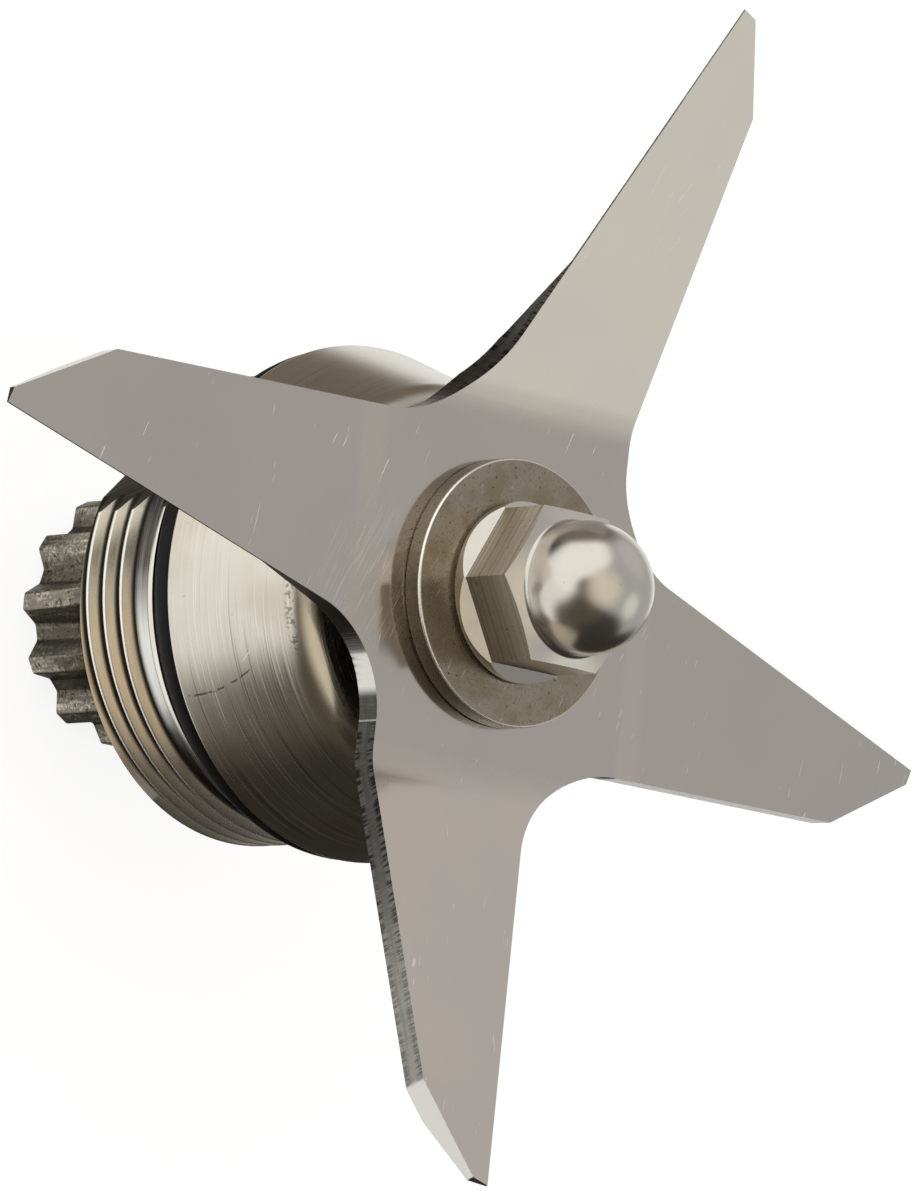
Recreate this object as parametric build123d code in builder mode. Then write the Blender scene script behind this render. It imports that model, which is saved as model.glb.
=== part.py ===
from build123d import *
import os
from math import cos, degrees, hypot, radians, sin, tan

os.makedirs("parts", exist_ok=True)

# The axis of rotation is +Z. The origin is the centre of the coupling's lower end face.

# Fits and clearances
press_fit = 0.01
slip_fit = 0.03
running_fit = 0.05
pocket_fit = 0.10
shield_gap = 0.25

# Drive coupling
tooth_count = 12
tooth_tip_radius = 10.8
tooth_root_radius = 9.4
tooth_tip_width = 1.45
tooth_base_width = 3.6
tooth_root_fillet = 0.5
tooth_tip_fillet = 0.3
tooth_length = 11.9
tooth_end_chamfer = 0.25
coupling_hub_radius = 7.6
coupling_hub_length = 4.0
coupling_spacer_length = 4.6

# Shaft
shaft_radius = 4.7625
shaft_shoulder_radius = 6.35
shaft_tail_radius = 3.96
shaft_tail_flat = 3.2
shaft_tail_recess = 1.0
shaft_tail_step = 0.3
drive_flat = 4.1
drive_flat_recess = 0.3
thread_radius = 3.96
thread_length = 11.6
shaft_chamfer = 0.6

# Ball bearings
bearing_outer_radius = 11.1125
bearing_width = 7.142
bearing_gap = 1.9
ball_radius = 1.985
ball_count = 7
race_groove_depth = 0.6
race_edge_chamfer = 0.35
shield_thickness = 0.35
shield_inset = 0.3
shield_seat_depth = 0.4
cage_wall = 1.3
cage_rim = 0.7
cage_prong_height = 0.75
spacer_wall = 1.4

# Retaining ring
ring_thickness = 1.0
ring_groove_play = 0.1
ring_groove_depth = 0.55
ring_width = 1.7
ring_lug_radius = 1.35
ring_lug_hole_radius = 0.6
ring_lug_angle = 16.0
ring_gap_angle = 20.0

# Housing
collar_lip = 1.68
collar_radius = 19.84
collar_thread_length = 8.08
collar_thread_pitch = 2.1167
collar_thread_depth = 1.0
collar_thread_crest = 0.26
collar_thread_flank = 30.0
collar_thread_sink = 0.2
collar_thread_angle = 272.6
collar_end_chamfer = 0.15
relief_radius = 18.5
relief_width = 1.2
land_width = 0.6
o_ring_groove_radius = 18.8
o_ring_groove_width = 3.95
collar_flat_distance = 17.45
collar_flat_angle = 136.5
flange_radius = 21.6
flange_rim = 0.15
cone_angle = 21.15
cone_shoulder_fillet = 2.95
seal_web = 1.5
seal_web_gap = 1.6
mouth_chamfer = 0.5

# Seals
o_ring_section_radius = 1.3
seal_outer_radius = 10.2
seal_height = 5.0
seal_recess = 0.32
seal_wall = 1.0
seal_floor = 1.1
seal_lip_thickness = 0.9
seal_spring_section_radius = 0.45

# Blade
blade_gap = 3.0
blade_thickness = 2.1
bend_sections = 5
raised_fillet = 12.7
level_fillet = 9.0
edge_land = 0.2
bevel_width = 5.5
bevel_runout = 8.5
raised_bend = 15.6
raised_bend_radius = 6.0
raised_bevel_end = 20.3
raised_tilt = 21.85
raised_long_offset = 10.18
raised_long_slope = 19.97
raised_short_offset = 12.31
raised_short_slope = 1.81
raised_corner = 43.7
raised_tip_cut = 23.9
raised_shoulder = 51.57
raised_reach = 52.13
level_bend = 13.7
level_bevel_end = 17.5
level_tilt = -3.73
level_long_offset = 9.57
level_long_slope = 17.45
level_short_offset = 13.28
level_short_slope = -0.71
level_corner = 41.84
level_tip_cut = 26.4
level_shoulder = 51.36
level_reach = 51.87

# Washer and cap nut
washer_radius = 11.05
washer_thickness = 1.8
washer_edge_radius = 0.25
nut_bar_radius = 7.45
nut_flat = 6.35
nut_flat_count = 6
nut_collar_height = 1.45
nut_hex_height = 5.2
nut_base_chamfer = 0.35
nut_runout_angle = 35.0
nut_cone_angle = 18.0
nut_neck_fillet = 0.4
dome_radius = 5.5
dome_centre_height = 8.0
nut_hole_depth = 10.5
nut_hole_tip = 1.4

# The balls run midway between the shaft and the bearings' outside, and the races' shoulders follow them
ball_pitch_radius = (shaft_radius + bearing_outer_radius) / 2
inner_race_outer_radius = ball_pitch_radius - ball_radius + race_groove_depth
outer_race_inner_radius = ball_pitch_radius + ball_radius - race_groove_depth

# Levels along the axis, stacked upwards from the coupling's lower end
coupling_top = tooth_length + coupling_hub_length
lower_bearing_bottom = coupling_top + coupling_spacer_length
lower_bearing_top = lower_bearing_bottom + bearing_width
upper_bearing_bottom = lower_bearing_top + bearing_gap
upper_bearing_top = upper_bearing_bottom + bearing_width
seal_bottom = upper_bearing_top + seal_web
seal_top = seal_bottom + seal_height
housing_top = seal_top + seal_recess
ring_groove_bottom = lower_bearing_bottom - ring_thickness - ring_groove_play
collar_bottom = ring_groove_bottom - collar_lip
relief_bottom = collar_bottom + collar_thread_length
land_bottom = relief_bottom + relief_width
groove_bottom = land_bottom + land_width
flange_bottom = groove_bottom + o_ring_groove_width
cone_bottom = flange_bottom + flange_rim
cone_top_radius = flange_radius - (housing_top - cone_bottom) * tan(radians(cone_angle))
blade_bottom = housing_top + blade_gap
blade_top = blade_bottom + blade_thickness
washer_top = blade_top + washer_thickness
nut_hex_bottom = washer_top + nut_collar_height
nut_hex_top = nut_hex_bottom + nut_hex_height
dome_centre = washer_top + dome_centre_height


def section(*points):
    """A closed profile in the XZ plane, given as radius and height."""
    with BuildSketch(Plane.XZ) as profile:
        with BuildLine():
            Polyline(*points, close=True)
        make_face()
    return profile.sketch


def tube(inner, outer, bottom, top):
    """The profile of a plain ring."""
    return section((inner, bottom), (outer, bottom), (outer, top), (inner, top))


def from_axis(vertex):
    """How far a vertex lies from the axis of rotation."""
    return hypot(vertex.X, vertex.Y)


def save(part, name):
    """Labels a finished piece and writes its file."""
    part.label = name
    export_step(part, f"parts/{name}.step")


# Drive coupling: outer teeth, a hub above them and a bore with one flat
with BuildPart() as drive_coupling:
    with BuildSketch() as tooth_sketch:
        tip_half = degrees(tooth_tip_width / 2 / tooth_tip_radius)
        base_half = degrees(tooth_base_width / 2 / tooth_root_radius)
        corners = (
            (tooth_root_radius, -base_half),
            (tooth_tip_radius, -tip_half),
            (tooth_tip_radius, tip_half),
            (tooth_root_radius, base_half),
        )
        pitch = 360 / tooth_count
        turns = [i * pitch for i in range(tooth_count)]
        Polygon(*[Vector(r, 0).rotate(Axis.Z, turn + a) for turn in turns for r, a in corners], align=None)
        pitch_radius = (tooth_root_radius + tooth_tip_radius) / 2
        fillet(tooth_sketch.vertices().filter_by(lambda v: from_axis(v) < pitch_radius), tooth_root_fillet)
        tip_corners = tooth_sketch.vertices().sort_by(from_axis)[-2 * tooth_count:]
        fillet(tip_corners, tooth_tip_fillet)
    extrude(amount=tooth_length)
    chamfer(drive_coupling.faces().sort_by(Axis.Z)[0].outer_wire().edges(), tooth_end_chamfer)
    with BuildSketch(Plane.XY.offset(tooth_length)):
        Circle(coupling_hub_radius)
    extrude(amount=coupling_hub_length)
    chamfer(drive_coupling.faces().sort_by(Axis.Z)[-1].outer_wire().edges(), tooth_end_chamfer)
    bore_radius = shaft_tail_radius + slip_fit
    bore_flat = shaft_tail_flat + slip_fit
    with BuildSketch():
        Circle(bore_radius)
        with Locations((bore_flat, 0)):
            Rectangle(bore_radius, 2 * bore_radius, align=(Align.MIN, Align.CENTER), mode=Mode.SUBTRACT)
    extrude(amount=coupling_top, mode=Mode.SUBTRACT)
save(drive_coupling.part, "drive_coupling")

# Shaft: tail with a flat, bearing seat, shoulder under the blade, drive flats and thread
drive_top = blade_top - drive_flat_recess
thread_top = blade_top + thread_length
with BuildPart() as shaft:
    revolve(
        section(
            (0, shaft_tail_recess),
            (shaft_tail_radius - shaft_chamfer, shaft_tail_recess),
            (shaft_tail_radius, shaft_tail_recess + shaft_chamfer),
            (shaft_tail_radius, coupling_top + shaft_tail_step),
            (shaft_radius, coupling_top + shaft_tail_step),
            (shaft_radius, upper_bearing_top),
            (shaft_shoulder_radius, upper_bearing_top),
            (shaft_shoulder_radius, blade_bottom),
            (shaft_radius, blade_bottom),
            (shaft_radius, drive_top),
            (thread_radius, drive_top),
            (thread_radius, thread_top - shaft_chamfer),
            (thread_radius - shaft_chamfer, thread_top),
            (0, thread_top),
        ),
        axis=Axis.Z,
    )
    with BuildSketch(Plane.XY.offset(blade_bottom)):
        for side in (1, -1):
            with Locations((side * drive_flat, 0)):
                edge = Align.MIN if side > 0 else Align.MAX
                Rectangle(shaft_radius, 2 * shaft_radius, align=(edge, Align.CENTER))
    extrude(amount=drive_top - blade_bottom, mode=Mode.SUBTRACT)
    with BuildSketch(Plane.XY.offset(shaft_tail_recess)):
        with Locations((shaft_tail_flat, 0)):
            Rectangle(shaft_radius, 2 * shaft_radius, align=(Align.MIN, Align.CENTER))
    extrude(amount=coupling_top - shaft_tail_recess, mode=Mode.SUBTRACT)
save(shaft.part, "shaft")

# Sleeves that clamp the inner races to the shaft's shoulder
sleeve_inner = shaft_radius + slip_fit
sleeve_outer = sleeve_inner + spacer_wall
with BuildPart() as coupling_spacer:
    revolve(tube(sleeve_inner, sleeve_outer, coupling_top, lower_bearing_bottom), axis=Axis.Z)
save(coupling_spacer.part, "coupling_spacer")

with BuildPart() as inner_spacer:
    revolve(tube(sleeve_inner, sleeve_outer, lower_bearing_top, upper_bearing_bottom), axis=Axis.Z)
save(inner_spacer.part, "inner_spacer")

with BuildPart() as outer_spacer:
    outer = bearing_outer_radius - press_fit
    revolve(tube(outer - spacer_wall, outer, lower_bearing_top, upper_bearing_bottom), axis=Axis.Z)
save(outer_spacer.part, "outer_spacer")


def make_bearing(name, bottom):
    """A shielded deep-groove ball bearing: two races, balls, a crown cage and two shields."""
    top = bottom + bearing_width
    middle = bottom + bearing_width / 2
    groove_radius = ball_radius + running_fit
    seat = shield_inset + shield_thickness
    seat_radius = outer_race_inner_radius + shield_seat_depth
    inner_bore = shaft_radius + press_fit
    outer_wall = bearing_outer_radius - press_fit

    with BuildPart() as outer_race:
        revolve(
            section(
                (outer_race_inner_radius, bottom + seat),
                (seat_radius, bottom + seat),
                (seat_radius, bottom),
                (outer_wall - race_edge_chamfer, bottom),
                (outer_wall, bottom + race_edge_chamfer),
                (outer_wall, top - race_edge_chamfer),
                (outer_wall - race_edge_chamfer, top),
                (seat_radius, top),
                (seat_radius, top - seat),
                (outer_race_inner_radius, top - seat),
            ),
            axis=Axis.Z,
        )
        with BuildSketch(Plane.XZ):
            with Locations((ball_pitch_radius, middle)):
                Circle(groove_radius)
        revolve(axis=Axis.Z, mode=Mode.SUBTRACT)
    save(outer_race.part, f"{name}_outer_race")

    with BuildPart() as inner_race:
        revolve(
            section(
                (inner_bore + race_edge_chamfer, bottom),
                (inner_race_outer_radius, bottom),
                (inner_race_outer_radius, top),
                (inner_bore + race_edge_chamfer, top),
                (inner_bore, top - race_edge_chamfer),
                (inner_bore, bottom + race_edge_chamfer),
            ),
            axis=Axis.Z,
        )
        with BuildSketch(Plane.XZ):
            with Locations((ball_pitch_radius, middle)):
                Circle(groove_radius)
        revolve(axis=Axis.Z, mode=Mode.SUBTRACT)
    save(inner_race.part, f"{name}_inner_race")

    with BuildPart(Plane.XY.offset(middle)) as balls:
        with PolarLocations(ball_pitch_radius, ball_count):
            Sphere(ball_radius)
    save(balls.part, f"{name}_balls")

    with BuildPart(Plane.XY.offset(middle)) as cage:
        cage_bottom = middle - ball_radius - pocket_fit - cage_rim
        revolve(
            tube(
                ball_pitch_radius - cage_wall / 2,
                ball_pitch_radius + cage_wall / 2,
                cage_bottom,
                middle + cage_prong_height,
            ),
            axis=Axis.Z,
        )
        with PolarLocations(ball_pitch_radius, ball_count):
            Sphere(ball_radius + pocket_fit, mode=Mode.SUBTRACT)
    save(cage.part, f"{name}_cage")

    for side, low in (("bottom", bottom + shield_inset), ("top", top - shield_inset - shield_thickness)):
        with BuildPart() as shield:
            revolve(
                tube(
                    inner_race_outer_radius + shield_gap,
                    seat_radius - press_fit,
                    low,
                    low + shield_thickness,
                ),
                axis=Axis.Z,
            )
        save(shield.part, f"{name}_{side}_shield")


make_bearing("lower_bearing", lower_bearing_bottom)
make_bearing("upper_bearing", upper_bearing_bottom)

# Retaining ring: an open ring with two drilled lugs, sprung into its groove under the lower bearing
with BuildPart() as retaining_ring:
    ring_outer = bearing_outer_radius + ring_groove_depth - slip_fit
    ring_inner = ring_outer - ring_width
    with BuildSketch(Plane.XY.offset(lower_bearing_bottom - ring_thickness)) as ring_sketch:
        Circle(ring_outer)
        Circle(ring_inner, mode=Mode.SUBTRACT)
        far = 2 * ring_outer
        opening = far * tan(radians(ring_gap_angle / 2))
        Polygon((0, 0), (far, -opening), (far, opening), align=None, mode=Mode.SUBTRACT)
        with PolarLocations(ring_inner, 2, start_angle=-ring_lug_angle, angular_range=2 * ring_lug_angle,
                            endpoint=True):
            Circle(ring_lug_radius)
            Circle(ring_lug_hole_radius, mode=Mode.SUBTRACT)
    extrude(amount=ring_thickness)
save(retaining_ring.part, "retaining_ring")

# Collar thread: one ridge wound round the collar, running off its lower end and stopping under the relief
bore = bearing_outer_radius
thread_root = collar_radius - collar_thread_depth
thread_start = collar_bottom - collar_thread_pitch
crest_half = collar_thread_crest / 2
foot_half = crest_half + (collar_thread_depth + collar_thread_sink) * tan(radians(collar_thread_flank))
with BuildPart() as thread_ridge:
    with BuildLine() as thread_path:
        Helix(
            pitch=collar_thread_pitch,
            height=relief_bottom - foot_half - thread_start,
            radius=thread_root,
            center=(0, 0, thread_start),
        )
    with BuildSketch(Plane(origin=thread_path.line @ 0, x_dir=(1, 0, 0), z_dir=(0, -1, 0))):
        Polygon(
            (-collar_thread_sink, -foot_half),
            (collar_thread_depth, -crest_half),
            (collar_thread_depth, crest_half),
            (-collar_thread_sink, foot_half),
            align=None,
        )
    sweep(path=thread_path.line, is_frenet=True)
    beside = collar_radius + collar_thread_pitch
    below = thread_start - collar_thread_pitch
    revolve(
        section(
            (bore, collar_bottom),
            (collar_radius - collar_end_chamfer, collar_bottom),
            (collar_radius + collar_end_chamfer, collar_bottom + 2 * collar_end_chamfer),
            (beside, collar_bottom + 2 * collar_end_chamfer),
            (beside, below),
            (bore, below),
        ),
        axis=Axis.Z,
        mode=Mode.SUBTRACT,
    )

# Housing: turned from bar, with a threaded collar, a bearing bore, a seal pocket and one milled flat
with BuildPart() as housing:
    ring_groove = bore + ring_groove_depth
    revolve(
        section(
            (bore + mouth_chamfer, collar_bottom),
            (thread_root, collar_bottom),
            (thread_root, relief_bottom),
            (relief_radius, relief_bottom),
            (relief_radius, land_bottom),
            (collar_radius, land_bottom),
            (collar_radius, groove_bottom),
            (o_ring_groove_radius, groove_bottom),
            (o_ring_groove_radius, flange_bottom),
            (flange_radius, flange_bottom),
            (flange_radius, cone_bottom),
            (cone_top_radius, housing_top),
            (seal_outer_radius + mouth_chamfer, housing_top),
            (seal_outer_radius, housing_top - mouth_chamfer),
            (seal_outer_radius, seal_bottom),
            (shaft_shoulder_radius + seal_web_gap, seal_bottom),
            (shaft_shoulder_radius + seal_web_gap, upper_bearing_top),
            (bore, upper_bearing_top),
            (bore, lower_bearing_bottom),
            (ring_groove, lower_bearing_bottom),
            (ring_groove, ring_groove_bottom),
            (bore, ring_groove_bottom),
            (bore, collar_bottom + mouth_chamfer),
        ),
        axis=Axis.Z,
    )
    top_rim = housing.edges().filter_by(GeomType.CIRCLE).group_by(Axis.Z)[-1].sort_by(SortBy.RADIUS)[-1]
    fillet(top_rim, cone_shoulder_fillet)
    add(thread_ridge.part.rotate(Axis.Z, collar_thread_angle))
    flat_plane = Plane.XY.offset(collar_bottom).rotated((0, 0, collar_flat_angle))
    with BuildSketch(flat_plane):
        with Locations((collar_flat_distance, 0)):
            Rectangle(collar_radius, 2 * collar_radius, align=(Align.MIN, Align.CENTER))
    extrude(amount=groove_bottom - collar_bottom, mode=Mode.SUBTRACT)
save(housing.part, "housing")

# O-ring seated in the groove under the flange
with BuildPart() as o_ring:
    with BuildSketch(Plane.XZ):
        ring_centre = o_ring_groove_radius + o_ring_section_radius + press_fit
        with Locations((ring_centre, flange_bottom - o_ring_section_radius - press_fit)):
            Circle(o_ring_section_radius)
    revolve(axis=Axis.Z)
save(o_ring.part, "o_ring")

# Lip seal: an outer wall, a floor and a lip that leans in to the shaft's shoulder, with its spring
lip_radius = shaft_shoulder_radius + running_fit
lip_top = seal_top - seal_floor / 2
lip_root = shaft_shoulder_radius + seal_web_gap
spring_height = lip_top - seal_lip_thickness
spring_radius = lip_radius + seal_lip_thickness + seal_spring_section_radius
with BuildPart() as shaft_seal:
    wall_outer = seal_outer_radius - press_fit
    revolve(
        section(
            (lip_root, seal_bottom),
            (wall_outer, seal_bottom),
            (wall_outer, seal_top),
            (wall_outer - seal_wall, seal_top),
            (wall_outer - seal_wall, seal_bottom + seal_floor),
            (lip_root + seal_lip_thickness, seal_bottom + seal_floor),
            (lip_radius + seal_lip_thickness, spring_height - seal_spring_section_radius),
            (lip_radius + seal_lip_thickness, lip_top),
            (lip_radius + seal_lip_thickness / 2, lip_top),
            (lip_radius, spring_height),
        ),
        axis=Axis.Z,
    )
    with BuildSketch(Plane.XZ):
        with Locations((spring_radius - seal_spring_section_radius / 2, spring_height)):
            Circle(seal_spring_section_radius + press_fit)
    revolve(axis=Axis.Z, mode=Mode.SUBTRACT)
save(shaft_seal.part, "shaft_seal")

with BuildPart() as seal_spring:
    with BuildSketch(Plane.XZ):
        with Locations((spring_radius - seal_spring_section_radius / 2, spring_height)):
            Circle(seal_spring_section_radius)
    revolve(axis=Axis.Z)
save(seal_spring.part, "seal_spring")


def arm_points(long_offset, long_slope, short_offset, short_slope, corner, tip_cut, shoulder, reach):
    """The flat outline of one arm along +X, from the axis out to the tip and back."""
    corner_y = -short_offset - tan(radians(short_slope)) * corner
    return [
        (0, long_offset),
        (reach, long_offset - tan(radians(long_slope)) * reach),
        (shoulder, corner_y + tan(radians(tip_cut)) * (shoulder - corner)),
        (corner, corner_y),
        (0, -short_offset),
    ]


raised_points = arm_points(
    raised_long_offset,
    raised_long_slope,
    raised_short_offset,
    raised_short_slope,
    raised_corner,
    raised_tip_cut,
    raised_shoulder,
    raised_reach,
)
level_points = arm_points(
    level_long_offset,
    level_long_slope,
    level_short_offset,
    level_short_slope,
    level_corner,
    level_tip_cut,
    level_shoulder,
    level_reach,
)

# The flat blank: two opposite arms bend up and the other two stay nearly level
with BuildSketch() as blank:
    with PolarLocations(0, 2):
        Polygon(*level_points, align=None)
    with PolarLocations(0, 2, start_angle=90):
        Polygon(*raised_points, align=None)
    notches = blank.vertices().filter_by(lambda v: from_axis(v) < level_corner / 2)
    fillet(notches.filter_by(lambda v: v.X * v.Y < 0), raised_fillet)
    notches = blank.vertices().filter_by(lambda v: from_axis(v) < level_corner / 2)
    fillet(notches.filter_by(lambda v: v.X * v.Y > 0), level_fillet)


def beyond(direction, distance):
    """What lies past a distance along one arm of the blank, moved to start at the origin along +X."""
    with BuildSketch() as rest:
        with Locations((-distance, 0)):
            add(blank.sketch, rotation=-direction)
        Rectangle(raised_reach, 2 * raised_reach, align=(Align.MIN, Align.CENTER), mode=Mode.INTERSECT)
    return rest.sketch


def root_span(sketch):
    """The cut edge at the start of an arm, as its lowest Y and its width."""
    box = sketch.edges().filter_by(Axis.Y).sort_by(Axis.X)[0].bounding_box()
    return box.min.Y, box.size.Y


def make_arm(direction, bend, bend_radius, tilt, points, long_slope, bevel_end):
    """One arm of the blank along +X, turned up by tilt at its bend line and ground along its long edge."""
    reach, tip_y = points[1]
    slope = radians(long_slope)
    setback = bend_radius * tan(radians(tilt / 2))
    bent = Plane(
        origin=(bend, 0, blade_top),
        x_dir=(cos(radians(tilt)), 0, sin(radians(tilt))),
        z_dir=(-sin(radians(tilt)), 0, cos(radians(tilt))),
    )

    # The bevel lies along the long edge: its profile's X points into the arm and its Y points up
    spare = blade_thickness
    edge_plane = Plane(
        origin=bent.from_local_coords(
            Vector(reach - bend + spare * cos(slope), tip_y - spare * sin(slope), 0)
        ),
        x_dir=bent.from_local_coords(Vector(-sin(slope), -cos(slope), 0)) - bent.origin,
        z_dir=bent.from_local_coords(Vector(-cos(slope), sin(slope), 0)) - bent.origin,
    )
    rise = (blade_thickness - edge_land) / bevel_width
    length = spare + (reach - bevel_end) / cos(slope)
    ramp = Plane(
        origin=edge_plane.from_local_coords(Vector(0, -blade_thickness, length)),
        x_dir=edge_plane.x_dir,
        z_dir=edge_plane.from_local_coords(Vector(0, bevel_runout, blade_thickness - edge_land))
        - edge_plane.origin,
    )
    with BuildPart() as bevel:
        with BuildSketch(edge_plane):
            Polygon(
                (-spare, rise * spare - edge_land),
                (bevel_width + spare, -blade_thickness - rise * spare),
                (-spare, -blade_thickness - rise * spare),
                align=None,
            )
        extrude(amount=length)
        split(bisect_by=ramp, keep=Keep.BOTTOM)

    with BuildPart() as arm:
        with BuildSketch(bent):
            with Locations((setback, 0)):
                add(beyond(direction, bend + setback))
        extrude(amount=-blade_thickness)
        if bend_radius > 0:
            for step in range(bend_sections):
                share = step / (bend_sections - 1)
                turn = radians(tilt * share)
                low, width = root_span(beyond(direction, bend - setback + 2 * setback * share))
                across = Plane(
                    origin=(
                        bend - setback + bend_radius * sin(turn),
                        0,
                        blade_top + bend_radius * (1 - cos(turn)),
                    ),
                    x_dir=(0, 1, 0),
                    z_dir=(cos(turn), 0, sin(turn)),
                )
                with BuildSketch(across):
                    with Locations((low, 0)):
                        Rectangle(width, blade_thickness, align=(Align.MIN, Align.MAX))
            loft()
        add(bevel.part, mode=Mode.SUBTRACT)
    return arm.part


raised_arm = make_arm(
    90, raised_bend, raised_bend_radius, raised_tilt, raised_points, raised_long_slope, raised_bevel_end
)
level_arm = make_arm(0, level_bend, 0, level_tilt, level_points, level_long_slope, level_bevel_end)

with BuildPart() as blade:
    with BuildSketch(Plane.XY.offset(blade_top)):
        add(blank.sketch)
        bend_start = raised_bend - raised_bend_radius * tan(radians(raised_tilt / 2))
        Rectangle(2 * level_bend, 2 * bend_start, mode=Mode.INTERSECT)
    extrude(amount=-blade_thickness)
    with PolarLocations(0, 2, start_angle=90):
        add(raised_arm)
    with PolarLocations(0, 2):
        add(level_arm)
    hole_radius = shaft_radius + slip_fit
    with BuildSketch(Plane.XY.offset(blade_bottom)):
        Circle(hole_radius)
        Rectangle(2 * (drive_flat + slip_fit), 2 * hole_radius, mode=Mode.INTERSECT)
    extrude(amount=blade_thickness, mode=Mode.SUBTRACT)
save(blade.part, "blade")

# Washer between the blade and the nut
with BuildPart() as blade_washer:
    revolve(tube(shaft_radius + slip_fit, washer_radius, blade_top, washer_top), axis=Axis.Z)
    rims = blade_washer.edges().filter_by(GeomType.CIRCLE).group_by(SortBy.RADIUS)[-1]
    fillet(rims, washer_edge_radius)
save(blade_washer.part, "blade_washer")

# Cap nut: round bar with six milled flats, a coned top and a dome over a blind thread
nut_hole = thread_radius + slip_fit
hole_top = washer_top + nut_hole_depth
cone_height = (nut_bar_radius - dome_radius) * tan(radians(nut_cone_angle))
with BuildPart() as flat_cutter:
    with BuildSketch(Plane.XZ):
        outside = 2 * nut_bar_radius
        fall = (outside - nut_flat) * tan(radians(nut_runout_angle))
        with BuildLine():
            Polyline(
                (nut_flat, nut_hex_bottom),
                (outside, nut_hex_bottom - fall),
                (outside, nut_hex_top),
                (nut_flat, nut_hex_top),
                close=True,
            )
        make_face()
    extrude(amount=nut_bar_radius, both=True)

with BuildPart() as cap_nut:
    with BuildSketch(Plane.XZ):
        with BuildLine():
            Polyline(
                (0, hole_top + nut_hole_tip),
                (nut_hole, hole_top),
                (nut_hole, washer_top),
                (nut_bar_radius - nut_base_chamfer, washer_top),
                (nut_bar_radius, washer_top + nut_base_chamfer),
                (nut_bar_radius, nut_hex_top - cone_height),
                (dome_radius, nut_hex_top),
                (dome_radius, dome_centre),
            )
            CenterArc((0, dome_centre), dome_radius, 0, 90)
            Line((0, dome_centre + dome_radius), (0, hole_top + nut_hole_tip))
        make_face()
    revolve(axis=Axis.Z)
    neck = cap_nut.edges().filter_by(GeomType.CIRCLE)
    neck = neck.filter_by(lambda e: abs(e.center().Z - nut_hex_top) < nut_neck_fillet)
    fillet(neck, nut_neck_fillet)
    with PolarLocations(0, nut_flat_count, start_angle=180 / nut_flat_count):
        add(flat_cutter.part, mode=Mode.SUBTRACT)
save(cap_nut.part, "cap_nut")
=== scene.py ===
"""Dresses the blender blade assembly: its meshes and finishes, a plain studio and the camera."""

import logging
from collections.abc import Callable, Iterable
from dataclasses import dataclass, field, replace
from enum import Enum, IntEnum
from functools import partialmethod
from math import copysign, cos, radians, sin, tan, tau

import bmesh
import bpy
from mathutils import Matrix, Vector
from mathutils.geometry import intersect_line_line_2d


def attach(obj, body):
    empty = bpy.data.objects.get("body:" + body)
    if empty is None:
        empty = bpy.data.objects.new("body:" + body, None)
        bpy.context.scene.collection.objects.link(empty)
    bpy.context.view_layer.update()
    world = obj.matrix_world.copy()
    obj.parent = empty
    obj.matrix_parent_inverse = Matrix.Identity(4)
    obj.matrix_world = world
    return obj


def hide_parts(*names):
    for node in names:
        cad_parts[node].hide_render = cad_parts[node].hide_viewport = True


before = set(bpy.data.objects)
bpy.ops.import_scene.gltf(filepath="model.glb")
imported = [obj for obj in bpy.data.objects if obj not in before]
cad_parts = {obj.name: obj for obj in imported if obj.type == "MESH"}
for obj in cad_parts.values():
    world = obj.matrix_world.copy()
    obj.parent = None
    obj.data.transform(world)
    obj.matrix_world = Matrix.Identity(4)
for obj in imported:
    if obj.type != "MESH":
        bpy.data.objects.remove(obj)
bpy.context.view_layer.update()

MM = 0.001  # metres in a millimetre
WELD = 0.001  # points closer than this, in millimetres, become one
ON_PLANE = 1e-6  # points nearer than this to a cutting plane, in millimetres, lie on it
ONE_PLANE = 0.4  # faces that turn by less than this, in degrees, are joined
LEVEL = 0.99  # how far up or down a level face's normal points at the least
FLAT_PLACE = "flat_place"  # the attribute that keeps where a point of the blade lay before bending
LOG = logging.getLogger("blade_assembly")

Colour = tuple[float, float, float]
Corner = tuple[float, float, float]


class Body(Enum):
    """The bodies that new pieces ride on."""

    HOUSING = "housing"
    ROTOR = "rotor"


class Socket:
    """A node's output that adds Math nodes when it stands in an expression."""

    def __init__(self, canvas: "Canvas", link: bpy.types.NodeSocket) -> None:
        """Keeps the canvas that owns the node, and the node's output."""
        self.canvas = canvas
        self.link = link

    def math(self, operation: str, other: "Socket | float" = 0.0, swapped: bool = False) -> "Socket":
        """Adds a Math node to this output.

        Args:
            operation: the Math node's operation.
            other: the second value.
            swapped: whether the second value comes first.

        Returns:
            The result of the new node.
        """
        first, second = (other, self) if swapped else (self, other)
        return self.canvas.add("ShaderNodeMath", {"operation": operation}, {0: first, 1: second})

    __add__ = __radd__ = partialmethod(math, "ADD")
    __mul__ = __rmul__ = partialmethod(math, "MULTIPLY")
    __sub__ = partialmethod(math, "SUBTRACT")
    __rsub__ = partialmethod(math, "SUBTRACT", swapped=True)
    __truediv__ = partialmethod(math, "DIVIDE")
    __pow__ = partialmethod(math, "POWER")


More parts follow.
